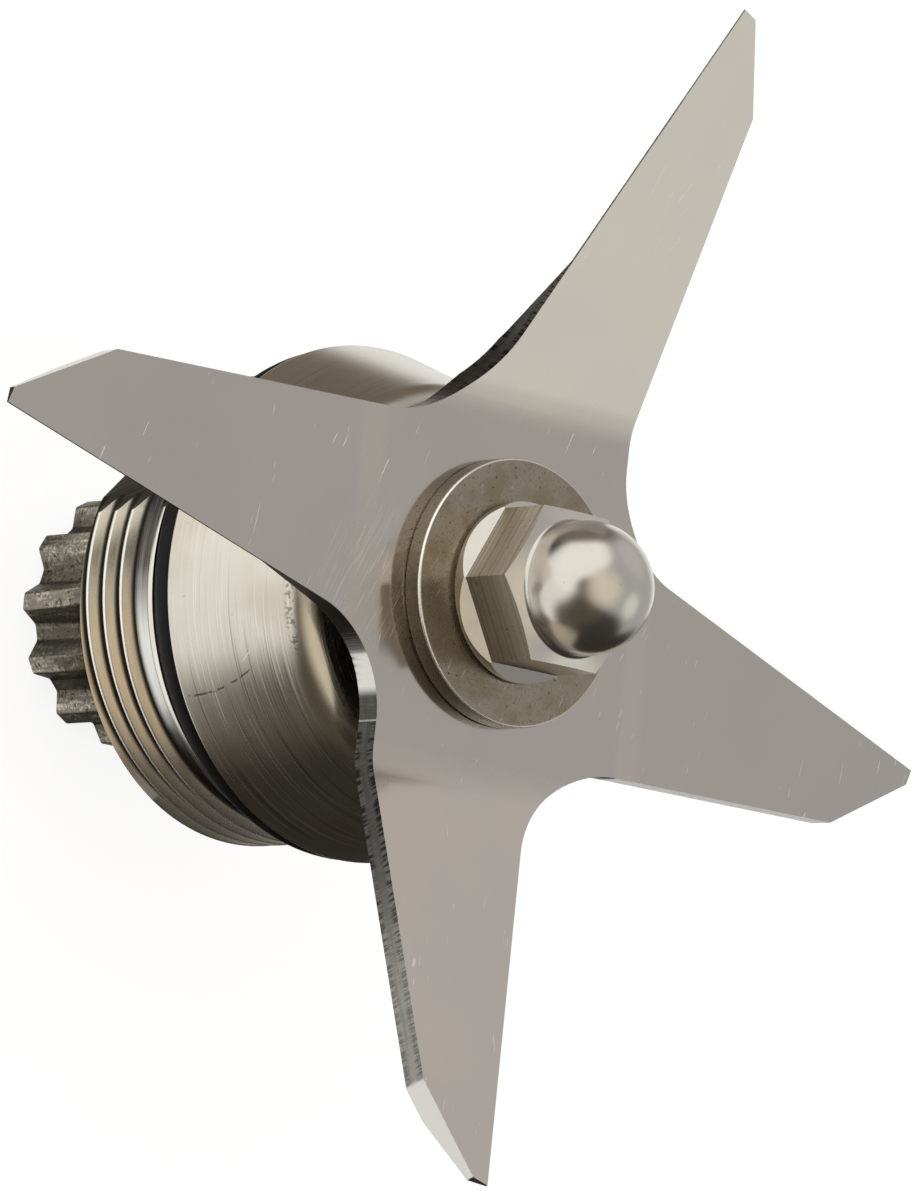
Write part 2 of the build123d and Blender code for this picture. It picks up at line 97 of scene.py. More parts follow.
class Canvas:
    """A node tree under construction."""

    def __init__(self, tree: bpy.types.NodeTree) -> None:
        """Starts from an empty tree."""
        self.tree = tree
        tree.nodes.clear()

    def add(
        self, kind: str, settings: dict | None = None, inputs: dict | None = None, output: int | str = 0
    ) -> Socket | None:
        """Adds one node.

        Args:
            kind: the node's type.
            settings: the node's own options, set before its sockets.
            inputs: the value or the link of each socket, by its name or its number.
            output: which output is handed back.

        Returns:
            The chosen output, or nothing for a node that has none.
        """
        node = self.tree.nodes.new(kind)
        for name, value in (settings or {}).items():
            setattr(node, name, value)
        for key, value in (inputs or {}).items():
            if isinstance(value, Socket):
                self.tree.links.new(value.link, node.inputs[key])
            else:
                node.inputs[key].default_value = value
        return Socket(self, node.outputs[output]) if node.outputs else None

    def split(self, vector: Socket) -> tuple[Socket, Socket, Socket]:
        """Takes a vector apart into X, Y and Z."""
        first = self.add("ShaderNodeSeparateXYZ", inputs={0: vector})
        outputs = first.link.node.outputs
        return first, Socket(self, outputs[1]), Socket(self, outputs[2])

    def join(self, x: Socket | float, y: Socket | float, z: Socket | float) -> Socket:
        """Puts X, Y and Z together as a vector."""
        return self.add("ShaderNodeCombineXYZ", inputs={0: x, 1: y, 2: z})

    def vector(self, operation: str, first: Socket, second: Socket | Corner, output: int = 0) -> Socket:
        """Adds a Vector Math node; output 1 is its number, output 0 its vector."""
        return self.add("ShaderNodeVectorMath", {"operation": operation}, {0: first, 1: second}, output)

    def noise(self, place: Socket, scale: float = 1.0, detail: float = 2.0, rough: float = 0.5) -> Socket:
        """Adds a noise texture and gives its value, around 0.5."""
        sockets = {"Vector": place, "Scale": scale, "Detail": detail, "Roughness": rough}
        return self.add("ShaderNodeTexNoise", inputs=sockets)

    def band(self, value: Socket, low: float, high: float) -> Socket:
        """Maps a value smoothly to 0 at low and 1 at high; low may be above high."""
        settings = {"interpolation_type": "SMOOTHSTEP", "clamp": True}
        return self.add("ShaderNodeMapRange", settings, {0: value, 1: low, 2: high, 3: 0.0, 4: 1.0})

    def mix(self, share: Socket, first: Socket | Colour, second: Socket | Colour) -> Socket:
        """Mixes two colours: all of the first at a share of 0, all of the second at 1."""
        sides = [side if isinstance(side, Socket) else (*side, 1.0) for side in (first, second)]
        settings = {"data_type": "RGBA", "clamp_factor": True}
        return self.add("ShaderNodeMix", settings, {0: share, 6: sides[0], 7: sides[1]}, 2)

    def coats(self, colour: Socket | Colour, *layers: tuple[Socket, Socket | Colour]) -> Socket:
        """Lays colours over a first one in order, each by its own share."""
        for share, layer in layers:
            colour = self.mix(share, colour, layer)
        return colour


class Paint(Canvas):
    """A material under construction, with its coordinates in millimetres."""

    def __init__(self, name: str) -> None:
        """Makes the material and its coordinates."""
        self.material = bpy.data.materials.new(name)
        self.material.use_nodes = True
        super().__init__(self.material.node_tree)
        place = self.add("ShaderNodeTexCoord", output="Object")
        self.place = self.vector("MULTIPLY", place, (1 / MM, 1 / MM, 1 / MM))
        self.x, self.y, self.z = self.split(self.place)
        self.radius = (self.x * self.x + self.y * self.y) ** 0.5

    def spots(self, scale: float, detail: float, low: float, high: float, rough: float = 0.5) -> Socket:
        """Patches or specks: 0 where the noise is under low, 1 where it is over high."""
        return self.band(self.noise(self.place, scale, detail, rough), low, high)

    def round_marks(self, per_mm: float, arc: float, detail: float = 2.0) -> Socket:
        """Fine marks that run round the axis, as a turning tool leaves them.

        Args:
            per_mm: how many marks there are to a millimetre.
            arc: how often a mark changes on its way round.
            detail: how much finer structure there is.

        Returns:
            A value around 0.5.
        """
        across = (self.z + self.radius) * per_mm
        place = self.join(self.x / self.radius * arc, self.y / self.radius * arc, across)
        return self.noise(place, detail=detail)

    def strokes(self, angle: float, per_mm: float, length: float, lift: float = 0.0) -> Socket:
        """Straight strokes in the XY plane, as from brushing or rubbing.

        Args:
            angle: the strokes' direction in degrees from +X.
            per_mm: how many strokes there are to a millimetre.
            length: about how long a stroke is, in millimetres.
            lift: moves the pattern, so that two sets differ.

        Returns:
            A value around 0.5.
        """
        c, s = cos(radians(angle)), sin(radians(angle))
        along = self.x * c + self.y * s
        across = self.y * c - self.x * s
        return self.noise(self.join(across * per_mm, along / length, self.z * 0.1 + lift))

    def close(
        self,
        colour: Socket | Colour,
        roughness: Socket | float,
        metallic: float,
        height: Socket,
        depth: float,
        specular: float = 0.5,
    ) -> bpy.types.Material:
        """Ends the material with its shader.

        Args:
            colour: the base colour.
            roughness: the roughness.
            metallic: 1 for bare metal.
            height: the relief, from 0 to 1.
            depth: how deep the relief is, in millimetres.
            specular: the specular level.

        Returns:
            The finished material.
        """
        normal = self.add("ShaderNodeBump", inputs={"Strength": 1.0, "Distance": depth * MM, "Height": height})
        sockets = {
            "Base Color": colour if isinstance(colour, Socket) else (*colour, 1.0),
            "Roughness": roughness,
            "Metallic": metallic,
            "Specular IOR Level": specular,
            "Normal": normal,
        }
        shader = self.add("ShaderNodeBsdfPrincipled", inputs=sockets)
        self.add("ShaderNodeOutputMaterial", inputs={"Surface": shader})
        return self.material


def flat_place(paint: Paint) -> tuple[Socket, Socket, Socket]:
    """Where a point of the blade lay before bending.

    Args:
        paint: the material under construction.

    Returns:
        The distances from the axis along X and along Y, and the height.
    """
    x, y, z = paint.split(paint.add("ShaderNodeAttribute", {"attribute_name": FLAT_PLACE}, output="Vector"))
    return x.math("ABSOLUTE"), y.math("ABSOLUTE"), z


def darker(colour: Colour, share: float) -> Colour:
    """The same colour with this share of its light."""
    return tuple(part * share for part in colour)


class Finish:
    """A finish that faces can have."""

    def material(self, name: str) -> bpy.types.Material:
        """Makes the finish's material under this name."""
        return self.cover(Paint(name))

    def cover(self, paint: Paint) -> bpy.types.Material:
        """Works the finish into a new material."""
        raise NotImplementedError


@dataclass(frozen=True)
class SmoothSheet(Finish):
    """Smooth stainless sheet, close to a mirror, with faint clouds and sparse fine scratches."""

    colour: Colour = (0.64, 0.597, 0.552)
    cloud: Colour = (0.60, 0.572, 0.548)
    bright: Colour = (1.0, 0.99, 0.97)
    roughness: float = 0.12
    scratch_angle: float = 68.5
    rub_x: float = -13.5
    rub_y: float = -1.0
    rub_reach: float = 8.0
    bend: float = 15.6

    def cover(self, paint: Paint) -> bpy.types.Material:
        """Works in clouds, scratches and the rubbed place beside the washer."""
        clouds = paint.spots(0.08, 3.0, 0.35, 0.65)
        grain = paint.strokes(self.scratch_angle, 9.0, 5.0)
        places = paint.spots(0.13, 1.0, 0.42, 0.6)
        sparse = paint.band(paint.strokes(self.scratch_angle, 4.5, 4.2, 7.0), 0.715, 0.745) * places
        cross = paint.band(paint.strokes(self.scratch_angle + 12, 4.2, 4.5, 11.0), 0.74, 0.77)
        rubbed = paint.band(paint.strokes(self.scratch_angle - 4, 8.0, 4.0, 19.0), 0.56, 0.68)
        reach = ((paint.x - self.rub_x) ** 2.0 + (paint.y - self.rub_y) ** 2.0) ** 0.5
        rub = paint.band(reach, self.rub_reach, self.rub_reach * 0.3)
        scratches = (sparse + cross * 0.7 + rubbed * rub * 0.45).math("MINIMUM", 1.0)
        x, y, _ = flat_place(paint)
        bend = paint.band((y.math("MAXIMUM", x) - self.bend).math("ABSOLUTE"), 2.2, 0.6)
        colour = paint.coats(self.colour, (clouds * 0.7, self.cloud), (scratches * 0.9, self.bright))
        roughness = (grain - 0.5) * 0.05 + scratches * 0.4 + bend * 0.22 + self.roughness
        return paint.close(colour, roughness, 1.0, grain * 0.3 + scratches, 0.0006)


@dataclass(frozen=True)
class CutEdge(Finish):
    """The sheared edge of the blade: smooth in the notches, dark and torn along the raised arms.

    All places are in the flat blade, in millimetres from the axis.
    """

    colour: Colour = (0.66, 0.65, 0.63)
    torn: Colour = (0.075, 0.07, 0.065)
    worn: Colour = (0.34, 0.33, 0.31)
    tick: Colour = (0.012, 0.011, 0.010)
    roughness: float = 0.18
    top: float = 48.604
    thickness: float = 2.1
    arm_width: float = 14.4
    # where the painted shade on the cut edges ends, across the flat blade
    painted_shade_end: float = 7.1
    torn_start: float = 9.6
    line_place: float = 12.4
    worn_start: float = 20.0
    worn_end: float = 38.0
    tip: float = 43.3

    def cover(self, paint: Paint) -> bpy.types.Material:
        """Works in the torn zone with its ticks, the light line across it, the worn zone further out and painted
        shade on the edges near the level arms.
        """
        x, y, z = flat_place(paint)
        depth = (self.top - z) / self.thickness
        raised = paint.band(x, self.arm_width + 0.3, self.arm_width) * paint.band(y, self.tip + 0.5, self.tip)
        torn = paint.band(y, self.torn_start, self.torn_start + 1.0) * raised
        worn = paint.band(y, self.worn_start, self.worn_end)
        # painted shade: cut edges within about 7.1 mm of the X axis in the flat blade are darkened towards the
        # torn colour
        dark = paint.band(y, self.painted_shade_end + 0.3, self.painted_shade_end - 0.3)
        ticks = paint.band(paint.noise(paint.join(x * 3.6, y * 3.6, depth * 0.7)), 0.49, 0.57)
        fine = paint.noise(paint.join(x * 7.0, y * 7.0, depth * 0.9))
        rims = paint.band(depth, 0.45, 0.15) + paint.band(depth, 0.6, 0.9)
        past_line = paint.band(y, self.line_place, self.line_place + 0.5)
        marks = ticks * rims * torn * past_line * (1.0 - worn * 0.6)
        along = paint.noise(paint.join(x * 0.2, y * 0.2, depth * 5.0))
        patch = paint.band(along + (fine - 0.5) * 0.7, 0.38, 0.62)
        line = paint.band((y - self.line_place).math("ABSOLUTE"), 0.10, 0.04) * raised
        ragged = paint.mix(worn * 0.75 + patch * (worn * 0.2 + 0.12), self.torn, self.worn)
        colour = paint.coats(
            self.colour,
            (torn, ragged),
            # painted shade on the edges near the level arms
            (dark * 0.85, self.torn),
            (marks * 0.95, self.tick),
            (line * 0.5, self.colour),
        )
        roughness = torn * 0.16 + fine * 0.1 + self.roughness
        return paint.close(colour, roughness, 1.0, fine * 0.4 - marks, 0.03)


@dataclass(frozen=True)
class GroundBevel(Finish):
    """A ground cutting bevel with grinding lines across the edge."""

    colour: Colour = (0.70, 0.69, 0.66)
    roughness: float = 0.24

    def cover(self, paint: Paint) -> bpy.types.Material:
        """Works in the grinding lines."""
        lines = paint.noise(paint.join(paint.x * 5.0, paint.y * 5.0, paint.z * 0.7), detail=3.0)
        colour = paint.mix(lines, self.colour, darker(self.colour, 0.82))
        return paint.close(colour, lines * 0.22 + self.roughness - 0.1, 1.0, lines, 0.012)


@dataclass(frozen=True)
class TurnedSteel(Finish):
    """Steel turned on a lathe: fine marks round the axis, clouds and small nicks."""

    colour: Colour = (0.66, 0.64, 0.60)
    stain: Colour = (0.50, 0.45, 0.39)
    score: Colour = (0.9, 0.88, 0.84)
    pit: Colour = (0.05, 0.045, 0.04)
    roughness: float = 0.26
    marks_per_mm: float = 7.0
    mark_depth: float = 0.003
    nick_share: float = 1.0

    def cover(self, paint: Paint) -> bpy.types.Material:
        """Works in the turning marks, a few deeper ones, clouds and pits."""
        marks = paint.round_marks(self.marks_per_mm, 1.3, 3.0)
        coarse = paint.round_marks(self.marks_per_mm * 0.35, 0.9)
        clouds = paint.spots(0.12, 3.0, 0.45, 0.7)
        scored = paint.band(paint.round_marks(self.marks_per_mm * 0.8, 2.2, 1.0), 0.66, 0.74)
        pits = paint.spots(2.6, 2.0, 0.73, 0.8) * self.nick_share
        colour = paint.coats(
            self.colour, (clouds * 0.45, self.stain), (scored * 0.3, self.score), (pits * 0.8, self.pit)
        )
        roughness = (marks - 0.5) * 0.2 + scored * 0.1 + self.roughness
        height = marks * 0.6 + coarse * 0.5 + scored * 0.3 - pits * 0.8
        return paint.close(colour, roughness, 1.0, height, self.mark_depth)


@dataclass(frozen=True)
class ConeSteel(Finish):
    """The housing's cone: turning lines, nicks along the shoulder and two scratches."""

    colour: Colour = (0.66, 0.635, 0.57)
    stain: Colour = (0.47, 0.41, 0.325)
    line: Colour = (0.17, 0.145, 0.115)
    bright: Colour = (0.95, 0.92, 0.85)
    nick: Colour = (0.06, 0.05, 0.04)
    scratch: Colour = (0.03, 0.025, 0.02)
    roughness: float = 0.23
    shoulder_radius: float = 17.58
    nick_reach: float = 0.3

    def cover(self, paint: Paint) -> bpy.types.Material:
        """Works in the turning lines, the nicks and the scratches."""
        marks = paint.round_marks(9.0, 0.9, 3.0)
        clouds = paint.spots(0.12, 3.0, 0.42, 0.7)
        dark_lines = paint.band(paint.round_marks(8.0, 1.0, 1.0), 0.40, 0.30)
        light_lines = paint.band(paint.round_marks(9.5, 1.4, 1.0), 0.60, 0.70)
        lined = paint.band(paint.y, 0.0, -7.0) * 0.7 + 0.3
        near = paint.band((paint.radius - self.shoulder_radius).math("ABSOLUTE"), self.nick_reach, 0.08)
        near = near * paint.band(paint.y, -8.0, -6.0) * paint.band(paint.y, 0.5, -1.5)
        nicks = paint.spots(3.4, 2.0, 0.50, 0.60) * near
        specks = paint.spots(2.6, 2.0, 0.75, 0.81)
        dotted, white = self.scratches(paint)
        colour = paint.coats(
            self.colour,
            (clouds * 0.45, self.stain),
            ((marks - 0.4) * 0.8 * lined, self.stain),
            (dark_lines * lined * 0.45, self.line),
            (light_lines * lined * 0.5, self.bright),
            (nicks * 0.6 + specks * 0.4, self.nick),
            (dotted * 0.7, self.scratch),
            (white * 0.8, self.bright),
        )
        roughness = (marks - 0.5) * 0.18 + light_lines * lined * 0.1 + white * 0.3 + self.roughness
        height = marks * 0.5 + light_lines * lined * 0.4 - dark_lines * lined * 0.5 - nicks * 0.8 - dotted
        return paint.close(colour, roughness, 1.0, height, 0.004)

    def scratches(self, paint: Paint) -> tuple[Socket, Socket]:
        """The long broken scratch and the short bright one, both on the -X side."""
        side = paint.band(paint.x, -10.0, -11.0)
        up = paint.z - 32.2
        off = (paint.y + 10.7 - up * 0.086 - up * up * 0.052).math("ABSOLUTE")
        dots = paint.spots(2.8, 1.0, 0.42, 0.5)
        dotted = paint.band(off, 0.12, 0.04) * paint.band(up, -0.2, 0.1) * paint.band(up, 5.9, 5.3) * dots * side
        off = (paint.y + 7.19 - (paint.z - 38.06) * 0.984).math("ABSOLUTE")
        length = paint.band(paint.z, 37.2, 37.5) * paint.band(paint.z, 38.5, 38.2)
        return dotted, paint.band(off, 0.09, 0.04) * length * side


@dataclass(frozen=True)
class ThreadSteel(Finish):
    """The collar's thread: rubbed crests with a painted highlight, tan flanks, dirty specks and painted shade in
    the root.
    """

    olive: Colour = (0.62, 0.585, 0.49)
    tan: Colour = (0.68, 0.575, 0.45)
    # the rubbed crests' colour, light enough to paint a highlight along them
    crest: Colour = (0.98, 0.97, 0.93)
    # the colour of the dirty specks and of the painted shade in the root
    dirt_and_shade: Colour = (0.022, 0.019, 0.016)
    crest_radius: float = 19.84
    root_radius: float = 18.84
    roughness: float = 0.25

    def cover(self, paint: Paint) -> bpy.types.Material:
        """Works in the tan zone, the dirty specks, the painted shade between the turns and the painted highlight
        on the rubbed crests.
        """
        marks = paint.noise(paint.join(paint.x * 0.4, paint.y * 0.4, paint.radius * 7.0))
        clouds = paint.noise(paint.place, 0.22, 3.0)
        place = paint.y + (clouds - 0.5) * 9.0
        warm = paint.band(place, 1.0, -9.0) * paint.band(place, -19.0, -12.0)
        # painted highlight along the crests, on top of their rubbed colour
        ridge = paint.band(paint.radius, self.crest_radius - 0.07, self.crest_radius - 0.02)
        # painted shade in the root between the turns
        painted_root_shade = paint.band(paint.radius, self.root_radius + 0.4, self.root_radius + 0.1)
        specks = paint.spots(2.4, 2.0, 0.70, 0.77)
        colour = paint.coats(
            self.olive,
            (warm, self.tan),
            ((marks - 0.4) * 0.6, darker(self.tan, 0.75)),
            (painted_root_shade * 0.95 + specks * 0.5, self.dirt_and_shade),
            (ridge, self.crest),
        )
        roughness = (marks - 0.5) * 0.12 + painted_root_shade * 0.3 + ridge * 0.22 + self.roughness
        return paint.close(colour, roughness, 1.0, marks * 0.5 - specks, 0.003)


@dataclass(frozen=True)
class GroovedSteel(Finish):
    """The turned relief above the thread: coarse lines, painted dark as shade in the recess, with a painted light
    band on the -Y side.
    """

    # painted light: the colour of the lit band
    painted_light: Colour = (0.80, 0.81, 0.80)
    # painted shade: the colour of the recess elsewhere
    painted_recess_shade: Colour = (0.10, 0.09, 0.085)
    roughness: float = 0.34

    def cover(self, paint: Paint) -> bpy.types.Material:
        """Works in the lines, the painted shade and the painted light band."""
        marks = paint.round_marks(8.0, 1.6)
        clouds = paint.noise(paint.place, 0.3)
        place = paint.y + (clouds - 0.5) * 3.0
        # painted light in a band at about -6 to -10 mm in Y, painted shade elsewhere
        painted_light_band = paint.band(place, 2.0, -6.0) * paint.band(place, -14.0, -10.0)
        colour = paint.mix(painted_light_band + (marks - 0.5) * 0.7, self.painted_recess_shade, self.painted_light)
        return paint.close(colour, marks * 0.2 + self.roughness - 0.1, 1.0, marks, 0.006)


@dataclass(frozen=True)
class MilledSteel(Finish):
    """Steel cut by a milling cutter: straight marks across one direction."""

    colour: Colour
    dark: Colour
    marks_per_mm: float
    light: Colour = (0.85, 0.82, 0.76)
    across: Corner = (0.0, 0.0, 1.0)
    roughness: float = 0.28
    depth: float = 0.02

    def cover(self, paint: Paint) -> bpy.types.Material:
        """Works in the cutter's dark and light marks and a few specks."""
        step = paint.vector("DOT_PRODUCT", paint.place, self.across, 1)
        drift = paint.noise(paint.place, 0.35)
        marks = paint.noise(paint.join(step * self.marks_per_mm + drift * 0.12, drift * 0.3, 0.0), detail=5.0)
        specks = paint.spots(3.5, 2.0, 0.62, 0.70)
        shade = paint.band(marks, 0.42, 0.64)
        light = paint.band(marks, 0.36, 0.30)
        colour = paint.coats(
            self.colour, (shade * 0.6, self.dark), (light * 0.35, self.light), (specks * 0.6, self.dark)
        )
        return paint.close(colour, marks * 0.3 + self.roughness - 0.1, 1.0, marks - specks * 0.3, self.depth)


@dataclass(frozen=True)
class TumbledSteel(Finish):
    """Tumbled steel, dull and yellowish, with pits, short rubbed lines, a painted highlight on the rim and painted
    shade on the side.
    """

    colour: Colour = (0.385, 0.34, 0.265)
    stain: Colour = (0.30, 0.25, 0.175)
    rubbed: Colour = (0.8, 0.77, 0.7)
    pit: Colour = (0.05, 0.042, 0.032)
    # colour of the painted highlight on the rim
    painted_rim_highlight: Colour = (0.95, 0.93, 0.87)
    roughness: float = 0.27
    rim_radius: float = 10.86
    rim_height: float = 50.2

    def cover(self, paint: Paint) -> bpy.types.Material:
        """Works in clouds, grit, rubbed lines and pits, with painted shade on the side and a painted highlight on
        the rim.
        """
        grain = paint.noise(paint.place, 4.5, 4.0, 0.65)
        clouds = paint.spots(0.45, 3.0, 0.4, 0.68)
        pits = paint.spots(2.4, 3.0, 0.62, 0.70, 0.6)
        grit = paint.band(grain, 0.52, 0.66)
        rubs = paint.band(paint.strokes(70.0, 3.0, 1.6), 0.66, 0.74)
        outside = paint.band(paint.radius, self.rim_radius, self.rim_radius + 0.08)
        # painted highlight along the upper outer edge
        painted_rim_highlight = outside * paint.band(paint.z, self.rim_height, self.rim_height + 0.1)
        # painted shade on the side wall, below the rim
        side = paint.band(paint.z, self.rim_height + 0.05, self.rim_height - 0.1)
        colour = paint.coats(
            self.colour,
            (clouds * 0.8, self.stain),
            # grit, with painted shade on the side
            (grit * 0.35 + side * 0.45, darker(self.stain, 0.4)),
            (rubs * 0.4, self.rubbed),
            (pits * 0.8, self.pit),
            (painted_rim_highlight, self.painted_rim_highlight),
        )
        roughness = (grain - 0.5) * 0.35 + clouds * 0.06 + self.roughness
        return paint.close(colour, roughness, 1.0, grain * 0.5 - pits * 0.8 + rubs * 0.2, 0.014)


@dataclass(frozen=True)
class PolishedSteel(Finish):
    """Satin-polished turned steel with faint marks round the axis and a few specks."""

    colour: Colour = (0.66, 0.635, 0.59)
    speck: Colour = (0.08, 0.07, 0.06)
    roughness: float = 0.23

    def cover(self, paint: Paint) -> bpy.types.Material:
        """Works in the haze, the marks and the specks."""
        marks = paint.round_marks(5.0, 0.8)
        haze = paint.noise(paint.place, 0.7, 3.0)
        specks = paint.spots(3.2, 2.0, 0.72, 0.79)
        colour = paint.coats(self.colour, (haze * 0.4, darker(self.colour, 0.86)), (specks * 0.6, self.speck))
        roughness = (haze - 0.5) * 0.14 + (marks - 0.5) * 0.06 + self.roughness
        return paint.close(colour, roughness, 1.0, marks * 0.6 - specks * 0.6, 0.0016)


@dataclass(frozen=True)
class SinteredIron(Finish):
    """Pressed and sintered iron: dark and granular with light grain, and painted shade between the teeth, so their
    tips stay lighter.
    """

    colour: Colour = (0.20, 0.185, 0.155)
    light: Colour = (0.64, 0.58, 0.46)
    # colour of the painted shade between the teeth
    painted_tooth_shade: Colour = (0.055, 0.048, 0.038)
    pore: Colour = (0.022, 0.02, 0.017)
    roughness: float = 0.38
    metallic: float = 0.85
    root_radius: float = 9.5
    tip_radius: float = 10.6

    def cover(self, paint: Paint) -> bpy.types.Material:
        """Works in the light grain, the painted shade between the teeth and the pores."""
        grain = paint.noise(paint.place, 3.2, 4.0, 0.7)
        patches = paint.spots(0.4, 3.0, 0.38, 0.6)
        pores = paint.spots(2.2, 3.0, 0.58, 0.68, 0.6)
        drawn = paint.noise(paint.join(paint.x * 2.6, paint.y * 2.6, paint.z * 0.25))
        light = paint.band(grain + (drawn - 0.5) * 0.5, 0.46, 0.64)
        # painted shade, from the tooth tips inwards to the roots and the bore
        painted_tooth_shade = paint.band(paint.radius, self.tip_radius, self.root_radius)
        colour = paint.coats(
            self.colour,
            (light * (patches * 0.7 + 0.25), self.light),
            (painted_tooth_shade * 0.75, self.painted_tooth_shade),
            (pores * 0.85, self.pore),
        )
        roughness = (grain - 0.5) * 0.3 + self.roughness
        return paint.close(colour, roughness, self.metallic, grain * 0.5 + drawn * 0.3 - pores * 0.9, 0.035)


@dataclass(frozen=True)
class Rubber(Finish):
    """Moulded rubber with a faint grain and a little dust."""

    colour: Colour = (0.004, 0.004, 0.004)
    dust: Colour = (0.03, 0.029, 0.028)
    roughness: float = 0.5

    def cover(self, paint: Paint) -> bpy.types.Material:
        """Works in the grain and the dust."""
        grain = paint.noise(paint.place, 3.0, 3.0)
        dusty = paint.spots(0.6, 4.0, 0.55, 0.8, 0.65)
        colour = paint.mix(dusty * 0.35, self.colour, self.dust)
        return paint.close(colour, (grain - 0.5) * 0.2 + self.roughness, 0.0, grain, 0.01, specular=0.2)


@dataclass(frozen=True)
class Nylon(Finish):
    """Natural moulded nylon, slightly cloudy."""

    colour: Colour = (0.66, 0.60, 0.46)
    roughness: float = 0.45

    def cover(self, paint: Paint) -> bpy.types.Material:
        """Works in the clouds."""
        clouds = paint.noise(paint.place, 0.8, 3.0)
        colour = paint.mix(clouds, self.colour, darker(self.colour, 0.85))
        return paint.close(colour, clouds * 0.2 + self.roughness - 0.1, 0.0, clouds, 0.01)


class Rounding(Enum):
    """What is rounded: edges, or the corner points of an outline."""

    EDGES = "EDGES"
    CORNERS = "VERTICES"


def round_off(mesh: bmesh.types.BMesh, parts: list, width: float, segments: int, kind: Rounding) -> None:
    """Rounds edges or corners of a mesh.

    Args:
        mesh: the mesh that is changed.
        parts: the edges or the corner points.
        width: how far from the edge or corner the rounding starts, in millimetres.
        segments: the number of faces or edges across the rounding.
        kind: which of the two the parts are.
    """
    bmesh.ops.bevel(
        mesh,
        geom=parts,
        offset=width,
        offset_type="OFFSET",
        segments=segments,
        profile=0.5,
        affect=kind.value,
        material=-1,
        clamp_overlap=kind is Rounding.EDGES,
    )


def heading(angle: float) -> Vector:
    """The level direction at an angle in degrees from +X."""
    return Vector((cos(radians(angle)), sin(radians(angle)), 0))


def everything(mesh: bmesh.types.BMesh) -> list:
    """All points, edges and faces of a mesh."""
    return [*mesh.verts, *mesh.edges, *mesh.faces]


def points_of(geometry: list) -> list[bmesh.types.BMVert]:
    """The points among mixed parts of a mesh."""
    return [part for part in geometry if isinstance(part, bmesh.types.BMVert)]


def block(size: Corner, middle: Corner, turn: float = 0.0) -> bmesh.types.BMesh:
    """A cutting block, turned about the axis by an angle in degrees."""
    cutter = bmesh.new()
    place = Matrix.Rotation(radians(turn), 4, "Z") @ Matrix.Translation(middle)
    bmesh.ops.create_cube(cutter, size=1, matrix=place @ Matrix.Diagonal((*size, 1)))
    return cutter


@dataclass
class Turning:
    """A turned outline: each corner's radius, height and rounding, in millimetres."""

    corners: list[Corner]
    steps: int = 240

    def spin(self, closed: bool) -> bmesh.types.BMesh:
        """Rounds the outline's corners and spins it round the axis.

        Args:
            closed: whether the last corner is joined to the first.

        Returns:
            The turned mesh, its faces looking outwards.
        """
        mesh = bmesh.new()
        chain = [mesh.verts.new((radius, 0, height)) for radius, height, _ in self.corners]
        ends = chain[1:] + chain[:1] if closed else chain[1:]
        for start, end in zip(chain, ends):
            mesh.edges.new((start, end))
        count = len(chain)
        places = [vert.co.copy() for vert in chain]
        for index, (_, _, rounding) in enumerate(self.corners):
            if rounding > 0:
                before, here, after = (places[(index + shift) % count] for shift in (-1, 0, 1))
                turn = (here - before).angle(after - here)
                segments = max(2, min(24, round(rounding * 12)))
                round_off(mesh, [chain[index]], rounding * tan(turn / 2), segments, Rounding.CORNERS)
        loose = [edge for edge in mesh.edges if not edge.link_faces]
        outline = list({vert for edge in loose for vert in edge.verts})
        bmesh.ops.spin(
            mesh, geom=outline + loose, cent=(0, 0, 0), axis=(0, 0, 1), angle=tau, steps=self.steps, use_merge=True
        )
        bmesh.ops.remove_doubles(mesh, verts=mesh.verts, dist=WELD / 10)
        bmesh.ops.recalc_face_normals(mesh, faces=mesh.faces)
        return mesh


def make_piece(name: str, mesh: bmesh.types.BMesh, body: Body, sharp: float) -> bpy.types.Object:
    """Turns a mesh in millimetres into an object in metres that rides on a body.

    Args:
        name: the piece's name.
        mesh: the mesh, which is freed.
        body: the body that the piece moves with.
        sharp: edges that turn by more than this, in degrees, shade as sharp.

    Returns:
        The new object.
    """
    bmesh.ops.scale(mesh, vec=(MM, MM, MM), verts=mesh.verts)
    data = bpy.data.meshes.new(name)
    mesh.to_mesh(data)
    mesh.free()
    data.shade_smooth()
    data.set_sharp_from_angle(angle=radians(sharp))
    piece = bpy.data.objects.new(name, data)
    bpy.context.scene.collection.objects.link(piece)
    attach(piece, body.value)
    return piece


class Joining(Enum):
    """How one closed mesh is put together with another."""

    CUT = "DIFFERENCE"
    ADD = "UNION"


def combine(
    mesh: bmesh.types.BMesh, others: Iterable[bmesh.types.BMesh], way: Joining = Joining.CUT
) -> bmesh.types.BMesh:
    """Cuts closed meshes out of another, or adds them to it.

    Args:
        mesh: the mesh that is changed, which is freed.
        others: the meshes to take away or to add, which are freed.
        way: whether they are taken away or added.

    Returns:
        The mesh that results.
    """
    parts = []
    for number, part in enumerate([mesh, *others]):
        data = bpy.data.meshes.new(f"part_{number}")
        part.to_mesh(data)
        part.free()
        parts.append(bpy.data.objects.new(data.name, data))
        bpy.context.scene.collection.objects.link(parts[-1])
    for other in parts[1:]:
        modifier = parts[0].modifiers.new(other.name, "BOOLEAN")
        modifier.operation = way.value
        modifier.solver = "EXACT"
        modifier.object = other
    bpy.context.view_layer.update()
    result = bmesh.new()
    result.from_object(parts[0], bpy.context.evaluated_depsgraph_get())
    for part in parts:
        bpy.data.meshes.remove(part.data)
    bmesh.ops.remove_doubles(result, verts=result.verts, dist=WELD)
    return result


